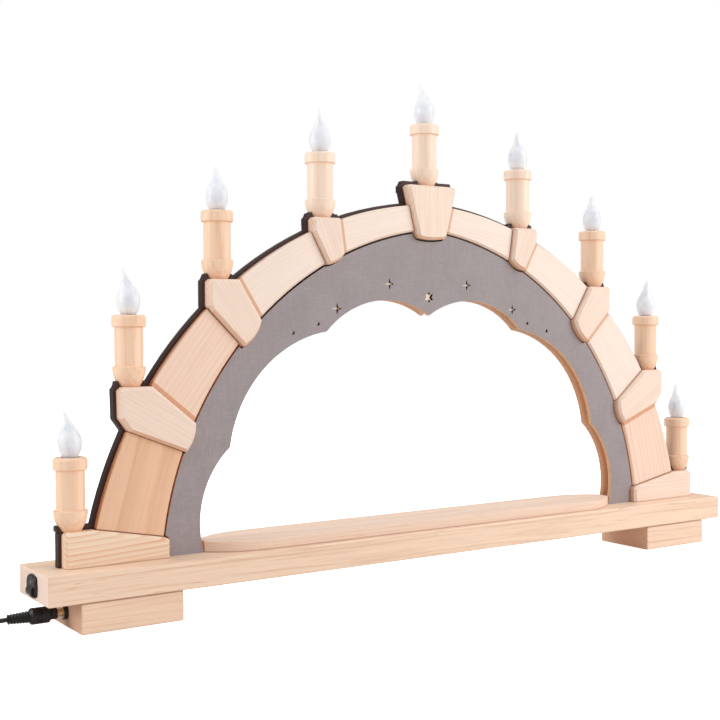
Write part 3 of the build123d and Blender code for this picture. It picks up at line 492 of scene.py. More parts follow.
@dataclass(frozen=True)
class LaserPlateFinish:
    """A laser-cut sheet: a stained face, and walls that the beam has browned or charred."""

    face: Shade
    face_light: Shade
    outer_wall: Shade
    inner_wall: Shade
    deep_wall: Shade
    bare: Shade
    # Whether bare wood shows behind the stars, lightened and glowing as painted light.
    bare_glowing_stars: bool = False
    star_edge: tuple[float, float] = (8.0, 6.0)
    opening_edge: tuple[float, float] = (1.08, 1.03)
    # Painted light: a lighter tone for the face that faces front.
    lit_front_side: Shade | None = None
    roughness: float = 0.5

    def make(
        self, name: str, effects: Effects, crown: Triple, stars: np.ndarray
    ) -> Material:
        """Build the material of one sheet.

        A wall is where the surface doesn't face front or back. It belongs to the opening where
        (x / a)^2 + (z / b)^2 stays near 1, with a and b the half axes of the opening.

        Args:
            name: the material's name.
            effects: the shared node groups.
            crown: half axes of the opening as (a, height of its base, b), in metres.
            stars: the middle of each star, one row each, in metres.

        Returns:
            The material.
        """
        surface = Surface(name, effects)
        graph = surface.graph
        depth = graph.add("SeparateXYZ", {0: surface.facing}).outputs["Y"]
        flat = graph.math("ABSOLUTE", depth)
        wall = graph.step(flat, 0.8, 0.5)
        wide, base, tall = crown
        over = graph.vector("SUBTRACT", surface.point, (0.0, 0.0, base)).outputs[0]
        shares = graph.stretch(over, (1 / wide, 0.0, 1 / tall))
        inner = graph.step(graph.vector("LENGTH", shares).outputs["Value"], *self.opening_edge)
        nearest = None
        for star in stars:
            apart = graph.vector("DISTANCE", surface.point, tuple(star.tolist())).outputs["Value"]
            nearest = apart if nearest is None else graph.math("MINIMUM", nearest, apart)
        star_mask = graph.step(nearest, *(radius * MM for radius in self.star_edge))
        grit = surface.call(effects.surface, Point=surface.point, Size=1.0)
        long = graph.stretch(surface.point, (0.12, 1.0, 1.0))
        upright = graph.stretch(surface.point, (1.0, 1.0, 0.06))
        weave = graph.times(graph.noise(long, 1700.0), graph.noise(upright, 1500.0, 3.0))
        mottle = graph.times(grit.outputs["Mottle"], 0.35)
        tone = graph.step(graph.plus(weave, mottle), 0.12, 0.76)
        colour = graph.mix(tone, self.face, self.face_light)
        # Painted light: the face that faces front, seen only through the channel at the opening,
        # takes a lighter, pinker tone that stands in for the light there.
        if self.lit_front_side:
            colour = graph.mix(graph.step(depth, -0.5, -0.8), colour, self.lit_front_side)
        # Painted light: behind each star the carrier shows bare wood, lightened, and glows from its
        # front faces though it is no lamp.
        if self.bare_glowing_stars:
            colour = graph.mix(star_mask, colour, self.bare)
            glow = graph.times(star_mask, graph.step(flat, 0.5, 0.8))
            painted_star_glow = graph.mix(glow, BLACK, self.bare)
            surface.give("Emission Color", painted_star_glow)
            surface.give("Emission Strength", 0.5)
        char = graph.step(grit.outputs["Grit"], 0.3, 0.75)
        cut = graph.mix(inner, self.outer_wall, self.inner_wall)
        cut = graph.mix(star_mask, cut, self.deep_wall)
        cut = graph.tint(cut, graph.spread(char, 0.3))
        surface.give("Base Color", graph.mix(wall, colour, cut))
        surface.give("Specular IOR Level", 0.25)
        surface.roughen(weave, (0.1, 0.5), self.roughness, (0.05, 0.1))
        surface.bump(graph.plus(weave, grit.outputs["Grit"]), 0.25, 0.1 * MM)
        return surface.material


GREY_PLATE = LaserPlateFinish(
    face=shade(153, 143, 145), face_light=shade(172, 162, 165), outer_wall=shade(46, 32, 28),
    inner_wall=shade(216, 166, 124), deep_wall=shade(40, 27, 22), bare=shade(230, 200, 165),
)
DARK_CARRIER = LaserPlateFinish(
    face=shade(62, 42, 42), face_light=shade(82, 60, 58), outer_wall=shade(50, 30, 28),
    inner_wall=shade(226, 150, 90), deep_wall=shade(30, 20, 16), bare=shade(250, 228, 206),
    bare_glowing_stars=True, opening_edge=(1.2, 1.14),
)
BACK_SHEET = LaserPlateFinish(
    face=shade(222, 190, 152), face_light=shade(240, 214, 180), outer_wall=shade(92, 62, 42),
    inner_wall=shade(204, 150, 114), deep_wall=shade(60, 40, 28), bare=shade(226, 196, 160),
    lit_front_side=shade(255, 214, 178),
)


@dataclass(frozen=True)
class Finish:
    """A finish of two tones, which each kind paints in its own way."""

    tone: Shade
    second: Shade
    roughness: float = 0.4

    def make(self, name: str, effects: Effects) -> Material:
        """Build the material.

        Args:
            name: the material's name.
            effects: the shared node groups.

        Returns:
            The material.
        """
        surface = Surface(name, effects)
        self.paint(surface)
        return surface.material

    def paint(self, surface: Surface) -> None:
        """Feed the shader, in each kind's own way."""
        raise NotImplementedError

    def mottled(self, surface: Surface, size: float) -> Node:
        """Mix the two tones by the slow mottle.

        Args:
            surface: the material under way.
            size: how much finer than usual its marks are.

        Returns:
            The node that gives mottle and grit.
        """
        fine = surface.call(surface.effects.surface, Point=surface.point, Size=size)
        mask = surface.graph.step(fine.outputs["Mottle"], 0.3, 0.7)
        surface.give("Base Color", surface.graph.mix(mask, self.tone, self.second))
        return fine


@dataclass(frozen=True)
class MouldedFinish(Finish):
    """Moulded plastic with a fine grit."""

    size: float = 1.0
    grit: float = 0.06 * MM

    def paint(self, surface: Surface) -> None:
        """Roughen the slow mottle and raise the grit."""
        fine = self.mottled(surface, self.size).outputs
        surface.roughen(fine["Mottle"], (0.25, 0.75), self.roughness, (0.05, 0.07))
        surface.bump(fine["Grit"], 0.3, self.grit)


@dataclass(frozen=True)
class MetalFinish(Finish):
    """Plated or turned metal with fine marks round its length."""

    roughness: float = 0.25

    def paint(self, surface: Surface) -> None:
        """Roughen and raise the grit of bare metal."""
        fine = self.mottled(surface, 2.0).outputs
        surface.give("Metallic", 1.0)
        surface.roughen(fine["Grit"], (0.2, 0.8), self.roughness, (0.06, 0.1))
        surface.bump(fine["Grit"], 0.15, 0.03 * MM)


@dataclass(frozen=True)
class MilkGlassFinish(Finish):
    """Frosted white glass, a little greyer in its body than at its lit side."""

    roughness: float = 0.34

    def paint(self, surface: Surface) -> None:
        """Mix the two tones by streaks that climb the flame, and let light into the glass."""
        graph = surface.graph
        tall = graph.stretch(surface.point, (1.0, 1.0, 0.12))
        streak = graph.step(graph.noise(tall, 260.0), 0.3, 0.7)
        cloud = graph.step(graph.noise(surface.point, 120.0), 0.3, 0.7)
        mask = graph.times(streak, cloud)
        surface.give("Base Color", graph.mix(mask, self.tone, self.second))
        surface.give("Subsurface Weight", 0.85)
        surface.give("Subsurface Radius", (1.0, 1.0, 1.0))
        surface.give("Subsurface Scale", 6 * MM)
        surface.give("Coat Weight", 0.12)
        surface.give("Coat Roughness", 0.12)
        surface.roughen(streak, (0.0, 1.0), self.roughness, (0.0, 0.08))
        surface.bump(streak, 0.2, 0.1 * MM)


BLACK_PLASTIC = MouldedFinish(shade(12, 10, 12), shade(22, 19, 22), 0.34)
BLACK_RUBBER = MouldedFinish(shade(11, 9, 11), shade(19, 16, 19), 0.42, size=1.5)
MARK_WHITE = MouldedFinish(shade(176, 174, 190), shade(206, 204, 216), 0.5)
LOOM_COVER = MouldedFinish(shade(150, 28, 24), shade(178, 40, 32), 0.45)
SOCKET_PLASTIC = MouldedFinish(shade(226, 224, 216), shade(240, 238, 232), 0.4)
NICKEL = MetalFinish(shade(196, 190, 178), shade(222, 216, 204))
BARREL_PLATE = MetalFinish(shade(220, 190, 142), shade(250, 236, 206), 0.22)
SCREW_STEEL = MetalFinish(shade(168, 166, 160), shade(200, 198, 192), 0.3)
MILK_GLASS = MilkGlassFinish(shade(240, 243, 252), shade(222, 225, 236))


def placed(name: str, data: ID) -> Object:
    """A new object at the origin, linked into the scene.

    Args:
        name: the object's name.
        data: its mesh, curve, camera or light.

    Returns:
        The object.
    """
    piece = bpy.data.objects.new(name, data)
    bpy.context.scene.collection.objects.link(piece)
    return piece


def skin(name: str, points: np.ndarray, faces: list[list[int]]) -> Object:
    """A smooth piece over a set of points.

    Args:
        name: the piece's name.
        points: one row each, in metres.
        faces: the numbers of each face's points.

    Returns:
        The new object.
    """
    mesh = bpy.data.meshes.new(name)
    mesh.from_pydata(points.tolist(), [], faces)
    mesh.update()
    mesh.shade_smooth()
    return placed(name, mesh)


def full_turn(count: int) -> np.ndarray:
    """Angles of so many equal steps round a circle."""
    return np.linspace(0.0, 2 * np.pi, count, endpoint=False)


def grid_skin(name: str, grid: np.ndarray, ends: tuple = ()) -> Object:
    """A closed skin over a grid of points.

    Rows go up the shape and columns go round it against the clock, so faces point outwards.
    Without ends, the last row meets the first.

    Args:
        name: the piece's name.
        grid: points of rows by columns by 3, in metres.
        ends: the points that close the first and the last row.

    Returns:
        The new object.
    """
    rows, columns, _ = grid.shape
    here = np.arange(rows * columns).reshape(rows, columns)
    after, above = np.roll(here, -1, axis=1), np.roll(here, -1, axis=0)
    sides = np.stack([here, after, np.roll(above, -1, axis=1), above], axis=-1)
    if not ends:
        return skin(name, grid.reshape(-1, 3), sides.reshape(-1, 4).tolist())
    first = np.full(columns, rows * columns)
    bottom = np.stack([first, after[0], here[0]], axis=-1).tolist()
    top = np.stack([first + 1, here[-1], after[-1]], axis=-1).tolist()
    points = np.vstack([grid.reshape(-1, 3), *ends])
    return skin(name, points, sides[:-1].reshape(-1, 4).tolist() + bottom + top)


def flat_walls(mesh: Mesh, count: int) -> list[Plane]:
    """Largest flat walls of a mesh, square to the front.

    Faces that share a normal and a distance from the origin belong to one wall.

    Args:
        mesh: the mesh of a piece.
        count: how many walls are wanted.

    Returns:
        Each wall's normal and its distance from the origin.
    """
    total = len(mesh.polygons)
    normals, middles, areas = np.empty(total * 3), np.empty(total * 3), np.empty(total)
    mesh.polygons.foreach_get("normal", normals)
    mesh.polygons.foreach_get("center", middles)
    mesh.polygons.foreach_get("area", areas)
    normals, middles = normals.reshape(-1, 3), middles.reshape(-1, 3)
    offsets = np.sum(normals * middles, axis=1)
    square = np.abs(normals[:, 1]) < 0.01
    keys = np.column_stack([np.round(normals, 3), np.round(offsets, 4)])[square]
    walls, index = np.unique(keys, axis=0, return_inverse=True)
    sizes = np.bincount(index.ravel(), weights=areas[square])
    largest = walls[np.argsort(sizes)[::-1][:count]]
    return [(tuple(wall[:3]), wall[3]) for wall in largest.tolist()]


def loop_band(middle: Triple, out: Triple, wide: float, tall: float, thick: float) -> np.ndarray:
    """Points of a round band whose middle line is an ellipse.

    The point at (u, v) is middle + (wide + thick cos v) cos u across + (tall + thick cos v) sin u
    up - thick sin v out.

    Args:
        middle: the middle of the ellipse, in metres.
        out: the way that its plane faces, square to Y.
        wide: its half axis along Y.
        tall: its half axis up its plane.
        thick: the radius of the band.

    Returns:
        The points, rows by columns by 3.
    """
    facing = Vector(out).normalized()
    across = np.array([0.0, 1.0, 0.0])
    up = np.array(Vector((0.0, 1.0, 0.0)).cross(facing))
    u = full_turn(40)[None, :, None]
    v = full_turn(12)[:, None, None]
    return (
        np.array(middle) + (wide + thick * np.cos(v)) * np.cos(u) * across
        + (tall + thick * np.cos(v)) * np.sin(u) * up - thick * np.sin(v) * np.array(facing)
    )


def dress(piece: Object, material: Material) -> None:
    """Give an object one material in all its slots.

    Args:
        piece: the object.
        material: its finish.
    """
    if not piece.material_slots:
        piece.data.materials.append(material)
    for slot in piece.material_slots:
        slot.material = material
    log.info("dressed %s", piece.name)


def finish_piece(piece: Object, material: Material, body: str) -> None:
    """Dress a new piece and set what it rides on.

    Args:
        piece: the new piece.
        material: its finish.
        body: the CAD body that it moves with.
    """
    dress(piece, material)
    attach(piece, body)
    log.info("made %s on %s", piece.name, body)


@dataclass
class Studio:
    """Camera, floor and lights."""

    place: Triple = (-0.58998, -0.78605, 0.20414)
    focal_pixels: float = 1210.88
    frame_pixels: int = 720
    yaw: float = 33.84
    pitch: float = -1.70
    roll: float = -0.15
    sensor: float = 36.0
    reach: float = 6.0

    def camera(self) -> None:
        """Put the camera where the photograph was taken from.

        The view turns by yaw from +Y towards +X and then by pitch upwards. Its right side turns
        by roll towards its top.
        """
        yaw, pitch, roll = (math.radians(v) for v in (self.yaw, self.pitch, self.roll))
        ahead = Vector((
            math.sin(yaw) * math.cos(pitch), math.cos(yaw) * math.cos(pitch), math.sin(pitch),
        ))
        level = Vector((math.cos(yaw), -math.sin(yaw), 0.0))
        above = level.cross(ahead)
        right = level * math.cos(roll) + above * math.sin(roll)
        top = right.cross(ahead)
        data = bpy.data.cameras.new("camera")
        data.sensor_width = self.sensor
        data.lens = self.focal_pixels / self.frame_pixels * self.sensor
        data.clip_start = 0.01
        camera = placed("camera", data)
        turn = Matrix((right, top, -ahead)).transposed()
        camera.matrix_world = Matrix.Translation(self.place) @ turn.to_4x4()
        bpy.context.scene.camera = camera

    def lamp(self, name: str, place: Triple, target: Triple, size: float, energy: float) -> None:
        """Hang one soft square light.

        Args:
            name: the light's name.
            place: where it hangs, in metres.
            target: what it points at.
            size: the side of its square.
            energy: its power in watts.
        """
        data = bpy.data.lights.new(name, "AREA")
        data.shape = "SQUARE"
        data.size = size
        data.energy = energy
        turn = (Vector(target) - Vector(place)).to_track_quat("-Z", "Y").to_matrix()
        placed(name, data).matrix_world = Matrix.Translation(place) @ turn.to_4x4()

    def lights(self) -> None:
        """Light the arch from the front right, the left and above, in a white room."""
        for name, place, target, size, energy in (
            ("key_light", (1.25, -1.3, 0.9), (0.15, 0.0, 0.15), 1.2, 19.5),
            ("left_light", (-1.9, 0.45, 0.8), (-0.3, 0.0, 0.1), 1.2, 17.0),
            ("roof_light", (0.0, 0.4, 2.4), (0.0, 0.0, 0.0), 3.0, 28.0),
        ):
            self.lamp(name, place, target, size, energy)
        world = bpy.data.worlds.new("white_room")
        world.use_nodes = True
        graph = Graph(world.node_tree)
        room = graph.add("Background", {"Color": WHITE, "Strength": 0.4})
        white = graph.add("Background", {"Color": WHITE, "Strength": 1.0})
        seen = graph.add("LightPath").outputs["Is Camera Ray"]
        mixed = graph.add("MixShader", {0: seen, 1: room.outputs[0], 2: white.outputs[0]})
        output = graph.add("OutputWorld")
        graph.feed(output.inputs["Surface"], mixed.outputs[0])
        bpy.context.scene.world = world
        bpy.context.scene.view_settings.view_transform = "Standard"

    def floor(self, effects: Effects) -> None:
        """Lay the pale floor, which throws less light than it shows.

        Args:
            effects: the shared node groups.
        """
        corners = np.array([(-1, -1, 0), (1, -1, 0), (1, 1, 0), (-1, 1, 0)]) * self.reach
        floor = skin("floor", corners, [[0, 1, 2, 3]])
        surface = Surface("floor_paper", effects)
        surface.give("Roughness", 0.9)
        fine = surface.call(effects.surface, Point=surface.point, Size=0.05)
        graph = surface.graph
        pale = graph.mix(fine.outputs["Mottle"], shade(250, 250, 250), shade(252, 252, 252))
        seen = graph.add("LightPath").outputs["Is Camera Ray"]
        surface.give("Base Color", graph.mix(seen, shade(216, 210, 204), pale))
        glow = graph.mix(seen, shade(112, 108, 104), shade(236, 236, 236))
        surface.give("Emission Color", glow)
        surface.give("Emission Strength", 1.0)
        dress(floor, surface.material)


@dataclass
class Maker:
    """One that makes or dresses some of the pieces."""

    effects: Effects
    nodes: dict


@dataclass
class CordSet(Maker):
    """The lead from the plug to the wound-up rest and its adapter."""

    thick: float = 3.2
    cord_low: float = 1.7
    centre: tuple[float, float] = (-474.0, 20.0)
    outer: float = 24.025
    inner: float = 12.775
    layers: int = 4
    turns: int = 3
    pitch: float = 3.75
    extra: float = 0.5
    per_turn: int = 24
    lead: tuple[Triple, ...] = (
        (-342.2, 0.0, 10.4), (-358.0, 0.0, 10.4), (-378.0, -1.5, 6.6), (-401.0, -4.5, 2.1),
        (-426.0, -8.0, 1.7), (-446.0, -7.0, 1.7),
    )
    lead_in: float = 14.0
    tail_out: float = 9.0
    tail: tuple[Triple, ...] = ((-456.0, 46.6, 15.0), (-446.775, 46.6, 15.0))

    def coil_point(self, turned: float) -> np.ndarray:
        """Middle of the cord after so many turns, clockwise from the front of the coil.

        The radius falls by one pitch a turn in one layer and rises again in the next, and the
        cord climbs by one pitch over the last quarter turn of a layer and the first of the next.

        Args:
            turned: how many turns from the start.

        Returns:
            The point, in millimetres.
        """
        layer = min(int(turned // self.turns), self.layers - 1)
        inside = turned - layer * self.turns
        inwards = self.outer - self.pitch * inside
        radius = inwards if layer % 2 == 0 else self.inner + self.pitch * inside
        climb = sum(
            min(max((turned - change * self.turns) * 2 + 0.5, 0.0), 1.0)
            for change in range(1, self.layers)
        )
        turn = -math.pi / 2 - 2 * math.pi * turned
        return np.array([
            self.centre[0] + radius * math.cos(turn),
            self.centre[1] + radius * math.sin(turn),
            self.cord_low + climb * self.pitch,
        ])

    def heading(self, turned: float) -> np.ndarray:
        """Direction of the cord after so many turns, from points just before and after."""
        ahead = self.coil_point(turned + 0.01) - self.coil_point(turned - 0.01)
        return ahead / np.linalg.norm(ahead)

    def build(self) -> None:
        total = self.layers * self.turns + self.extra
        steps = int(total * self.per_turn)
        coil = [self.coil_point(step / self.per_turn) for step in range(steps + 1)]
        first = coil[0] - self.heading(0.0) * self.lead_in
        last = coil[-1] + self.heading(total) * self.tail_out
        points = [*self.lead, first, *coil, last, *self.tail]
        data = bpy.data.curves.new("cord", "CURVE")
        data.dimensions = "3D"
        data.bevel_depth = self.thick / 2 * MM
        data.bevel_resolution = 4
        data.use_fill_caps = True
        data.resolution_u = 4
        spline = data.splines.new("NURBS")
        spline.points.add(len(points) - 1)
        flat = np.hstack([np.array(points) * MM, np.ones((len(points), 1))])
        spline.points.foreach_set("co", flat.ravel())
        spline.order_u = 3
        spline.use_endpoint_u = True
        cord = placed("cord", data)
        finish_piece(cord, BLACK_RUBBER.make("cord_cover", self.effects), "cord_set")
        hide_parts("cord_lead", "cord_coil", "cord_tail")


@dataclass
class FlameLamps(Maker):
    """Nine flame-shaped bulbs on their screw caps."""

    rows: int = 44
    columns: int = 48
    bulb_low: float = 49.1
    bulb_wide: float = 16.0
    tip_gap: float = 0.4
    ridge: float = 0.005
    ridges: int = 6
    contact: float = 1.4
    contact_radii: Triple = (2.0, 2.3, 3.4)
    cap_rows: int = 40
    cap_columns: int = 32
    cap_radius: float = 4.5
    thread: float = 0.22
    thread_pitch: float = 2.2
    thread_ends: tuple[float, float] = (1.0, 2.0)
    tip_lean: float = 4.2
    shares: tuple = (
        (0.0, 0.60, 0.0), (0.06, 0.74, 0.0), (0.13, 0.87, 0.0), (0.24, 0.985, 0.0),
        (0.36, 1.0, 0.0), (0.49, 0.88, 0.04), (0.61, 0.63, 0.16), (0.73, 0.42, 0.36),
        (0.85, 0.26, 0.62), (0.94, 0.15, 0.85), (1.0, 0.06, 1.0),
    )
    turns: tuple[float, ...] = (150.0, 140.0, 77.0, 236.0, 107.0, 224.0, 56.0, 240.0, 60.0)

    def build(self) -> None:
        """Make each lamp over its CAD node."""
        glass = MILK_GLASS.make("milk_glass", self.effects)
        cap = NICKEL.make("lamp_cap_metal", self.effects)
        for number, turn in enumerate(self.turns, 1):
            node = f"flame_lamp_{number}"
            low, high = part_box(node)
            foot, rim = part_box(f"candle_sleeve_{number}")
            x, lean = (foot.x + rim.x) / 2, math.radians(turn)
            bulb = self.bulb(f"lamp_bulb_{number}", x, foot.z, high.z, lean)
            finish_piece(bulb, glass, f"lamp_{number}")
            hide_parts(node)
            screw = self.cap(f"lamp_cap_{number}", x, low.z, foot.z + self.bulb_low * MM)
            finish_piece(screw, cap, f"lamp_{number}")

    def bulb(self, name: str, x: float, shelf: float, tip: float, turn: float) -> Object:
        """A flame: a radius that follows a smooth line through set shares of its height.

        The middle line leans to the tip by a share of the lean, and low ridges climb round it by
        a sixth of a turn.

        Args:
            name: the piece's name.
            x: the candle's axis.
            shelf: the height of the candle's foot.
            tip: the height of the flame's tip.
            turn: the way that the tip leans, in radians.

        Returns:
            The new object.
        """
        low = shelf + self.bulb_low * MM
        up = np.linspace(0.0, 1.0, self.rows)
        heights, wides, leans = (np.array(column) for column in zip(*self.shares))
        radius = smooth_line(heights, wides, up) * self.bulb_wide / 2 * MM
        lean = smooth_line(heights, leans, up) * self.tip_lean * MM
        level = low + up * (tip - low - self.tip_gap * MM)
        round_it = full_turn(self.columns)
        ridge = 1 + self.ridge * np.cos(self.ridges * (round_it[None, :] + up[:, None] * np.pi / 3))
        wide = radius[:, None] * ridge
        grid = np.stack([
            x + lean[:, None] * np.cos(turn) + wide * np.cos(round_it),
            lean[:, None] * np.sin(turn) + wide * np.sin(round_it),
            np.broadcast_to(level[:, None], wide.shape),
        ], axis=-1)
        first = (x, 0.0, low)
        last = (x + lean[-1] * np.cos(turn), lean[-1] * np.sin(turn), tip)
        return grid_skin(name, grid, (first, last))

    def cap(self, name: str, x: float, low: float, high: float) -> Object:
        """A screw cap: its radius waves with its height and the angle, as a thread does.

        Args:
            name: the piece's name.
            x: the candle's axis.
            low: the height of its contact.
            high: the height of its upper edge.

        Returns:
            The new object.
        """
        tall = high - low
        contact = self.contact * MM
        barrel = np.linspace(contact, tall, self.cap_rows)
        up = np.concatenate([[0.0, contact * 0.9, contact], barrel])
        wide = np.append(self.contact_radii, np.full(self.cap_rows, self.cap_radius)) * MM
        round_it = full_turn(self.cap_columns)
        turned = up[:, None] / (self.thread_pitch * MM) * 2 * np.pi - round_it[None, :]
        first, last = self.thread_ends
        threaded = ((up > contact + first * MM) & (up < tall - last * MM))[:, None]
        radius = wide[:, None] + self.thread * MM * np.cos(turned) * threaded
        grid = np.stack([
            x + radius * np.cos(round_it),
            radius * np.sin(round_it),
            np.broadcast_to(low + up[:, None], radius.shape),
        ], axis=-1)
        return grid_skin(name, grid, ((x, 0.0, low), (x, 0.0, high)))


def smooth_line(at: np.ndarray, values: np.ndarray, wanted: np.ndarray) -> np.ndarray:
    """A smooth line through points: cubic pieces whose slopes are those between neighbours.

    Args:
        at: the places of the points, rising.
        values: their values.
        wanted: the places to read.

    Returns:
        The values there.
    """
    slopes = np.gradient(values, at)
    index = np.clip(np.searchsorted(at, wanted, side="right") - 1, 0, len(at) - 2)
    span = at[index + 1] - at[index]
    t = (wanted - at[index]) / span
    return (
        (2 * t**3 - 3 * t**2 + 1) * values[index] + (t**3 - 2 * t**2 + t) * span * slopes[index]
        + (3 * t**2 - 2 * t**3) * values[index + 1] + (t**3 - t**2) * span * slopes[index + 1]
    )


@dataclass
class WoodenPieces(Maker):
    """Board, feet, platform, stones, segments and turned candles, which the CAD already shapes."""

    # Candles that take the lighter copy of the candle wood, as painted light.
    lit_candles: tuple[int, ...] = (4, 5, 6)

    def plan(self) -> dict[str, tuple[WoodFinish, Grain]]:
        """Finish and grain of each wooden node.

        Returns:
            The pair by node name.
        """
        along, upright = Figure.LONG.value, Figure.UPRIGHT.value
        rows = {
            "base_board": (BOARD_WOOD, along, 60, 95),
            "foot_left": (FOOT_WOOD, along, 20, 60),
            "foot_right": (FOOT_WOOD, along, 24, 46),
            "platform_board": (PLATFORM_WOOD, along, 5, 52),
            "springer_left": (STRIPED_WOOD, 3.0, 30, 84),
            "springer_right": (STONE_WOOD, along, 30, 66),
            "keystone_2": (STONE_WOOD, -30.0, 30, 90),
            "keystone_3": (STONE_WOOD, -52.0, 25, 80),
            "keystone_4": (STONE_WOOD, -68.0, 30, 70),
            "keystone_5": (FINE_WOOD, upright, 20, 65),
            "keystone_6": (STONE_WOOD, 68.0, 30, 75),
            "keystone_7": (STONE_WOOD, 52.0, 25, 85),
            "keystone_8": (STONE_WOOD, 30.0, 35, 80),
            "segment_1": (WARM_WOOD, 74.0, 30, 60),
            "segment_2": (ROSY_WOOD, 52.0, 30, 80),
            "segment_3": (PALE_WOOD, 32.0, 30, 90),
            "segment_4": (PALE_WOOD, 12.0, 30, 85),
            "segment_5": (PALE_WOOD, -10.0, 30, 80),
            "segment_6": (PALE_WOOD, -30.0, 28, 90),
            "segment_7": (PALE_WOOD, -52.0, 32, 80),
            "segment_8": (ROSY_WOOD, -76.0, 36, 70),
        }
        for number in range(1, 10):
            # Painted light: these candles take the lighter copy of the candle wood.
            finish = CANDLE_WOOD_LIT if number in self.lit_candles else CANDLE_WOOD
            pith = (14 + 2 * number, number * 7 % 13 - 6)
            rows[f"candle_sleeve_{number}"] = (finish, upright, *pith)
        return {name: (finish, Grain(*lie)) for name, (finish, *lie) in rows.items()}

    def seams(self, name: str) -> list[Plane]:
        """Planes where a piece meets its neighbours.

        A segment meets them at its two largest flat walls, a foot at its top, and a springer or
        the platform at its bottom.

        Args:
            name: the wooden node.

        Returns:
            The planes, each with its normal and its distance from the origin.
        """
        low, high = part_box(name)
        if name.startswith("segment"):
            return flat_walls(self.nodes[name].data, 2)
        if name.startswith("foot"):
            return [((0.0, 0.0, 1.0), high.z)]
        if name.startswith(("springer", "platform")):
            return [((0.0, 0.0, 1.0), low.z)]
        return []

    def build(self) -> None:
        """Dress each wooden node with its own cut of wood."""
        for name, (finish, grain) in self.plan().items():
            middle = sum(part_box(name), Vector()) / 2
            wood = finish.make(f"wood_{name}", self.effects, grain, middle, self.seams(name))
            dress(self.nodes[name], wood)


@dataclass
class Plates(Maker):
    """The dark carrier, the grey front plate and the pale back plate."""

    half_span: float = 298.85
    rise: float = 273.7
    board_top: float = 40.8
    opening_shares: tuple[float, float] = (0.745, 0.76)
    star_depth: float = -3.1
    star_shares: tuple = (
        (0.0, 0.675), (0.13, 0.712), (0.2945, 0.64), (0.3515, 0.5975), (0.4255, 0.573),
    )

    def stars(self) -> np.ndarray:
        """Middle of each star on both sides of the crown, in metres."""
        shares = np.array(self.star_shares)
        mirrored = np.vstack([shares, shares[1:] * (-1.0, 1.0)])
        return np.stack([
            mirrored[:, 0] * self.half_span,
            np.full(len(mirrored), self.star_depth),
            self.board_top + mirrored[:, 1] * self.rise,
        ], axis=-1) * MM

    def build(self) -> None:
        """Dress the three sheets."""
        wide, tall = self.opening_shares
        crown = (wide * self.half_span * MM, self.board_top * MM, tall * self.rise * MM)
        stars = self.stars()
        for name, finish in (
            ("carrier_ring", DARK_CARRIER), ("front_plate", GREY_PLATE), ("back_plate", BACK_SHEET),
        ):
            dress(self.nodes[name], finish.make(f"sheet_{name}", self.effects, crown, stars))


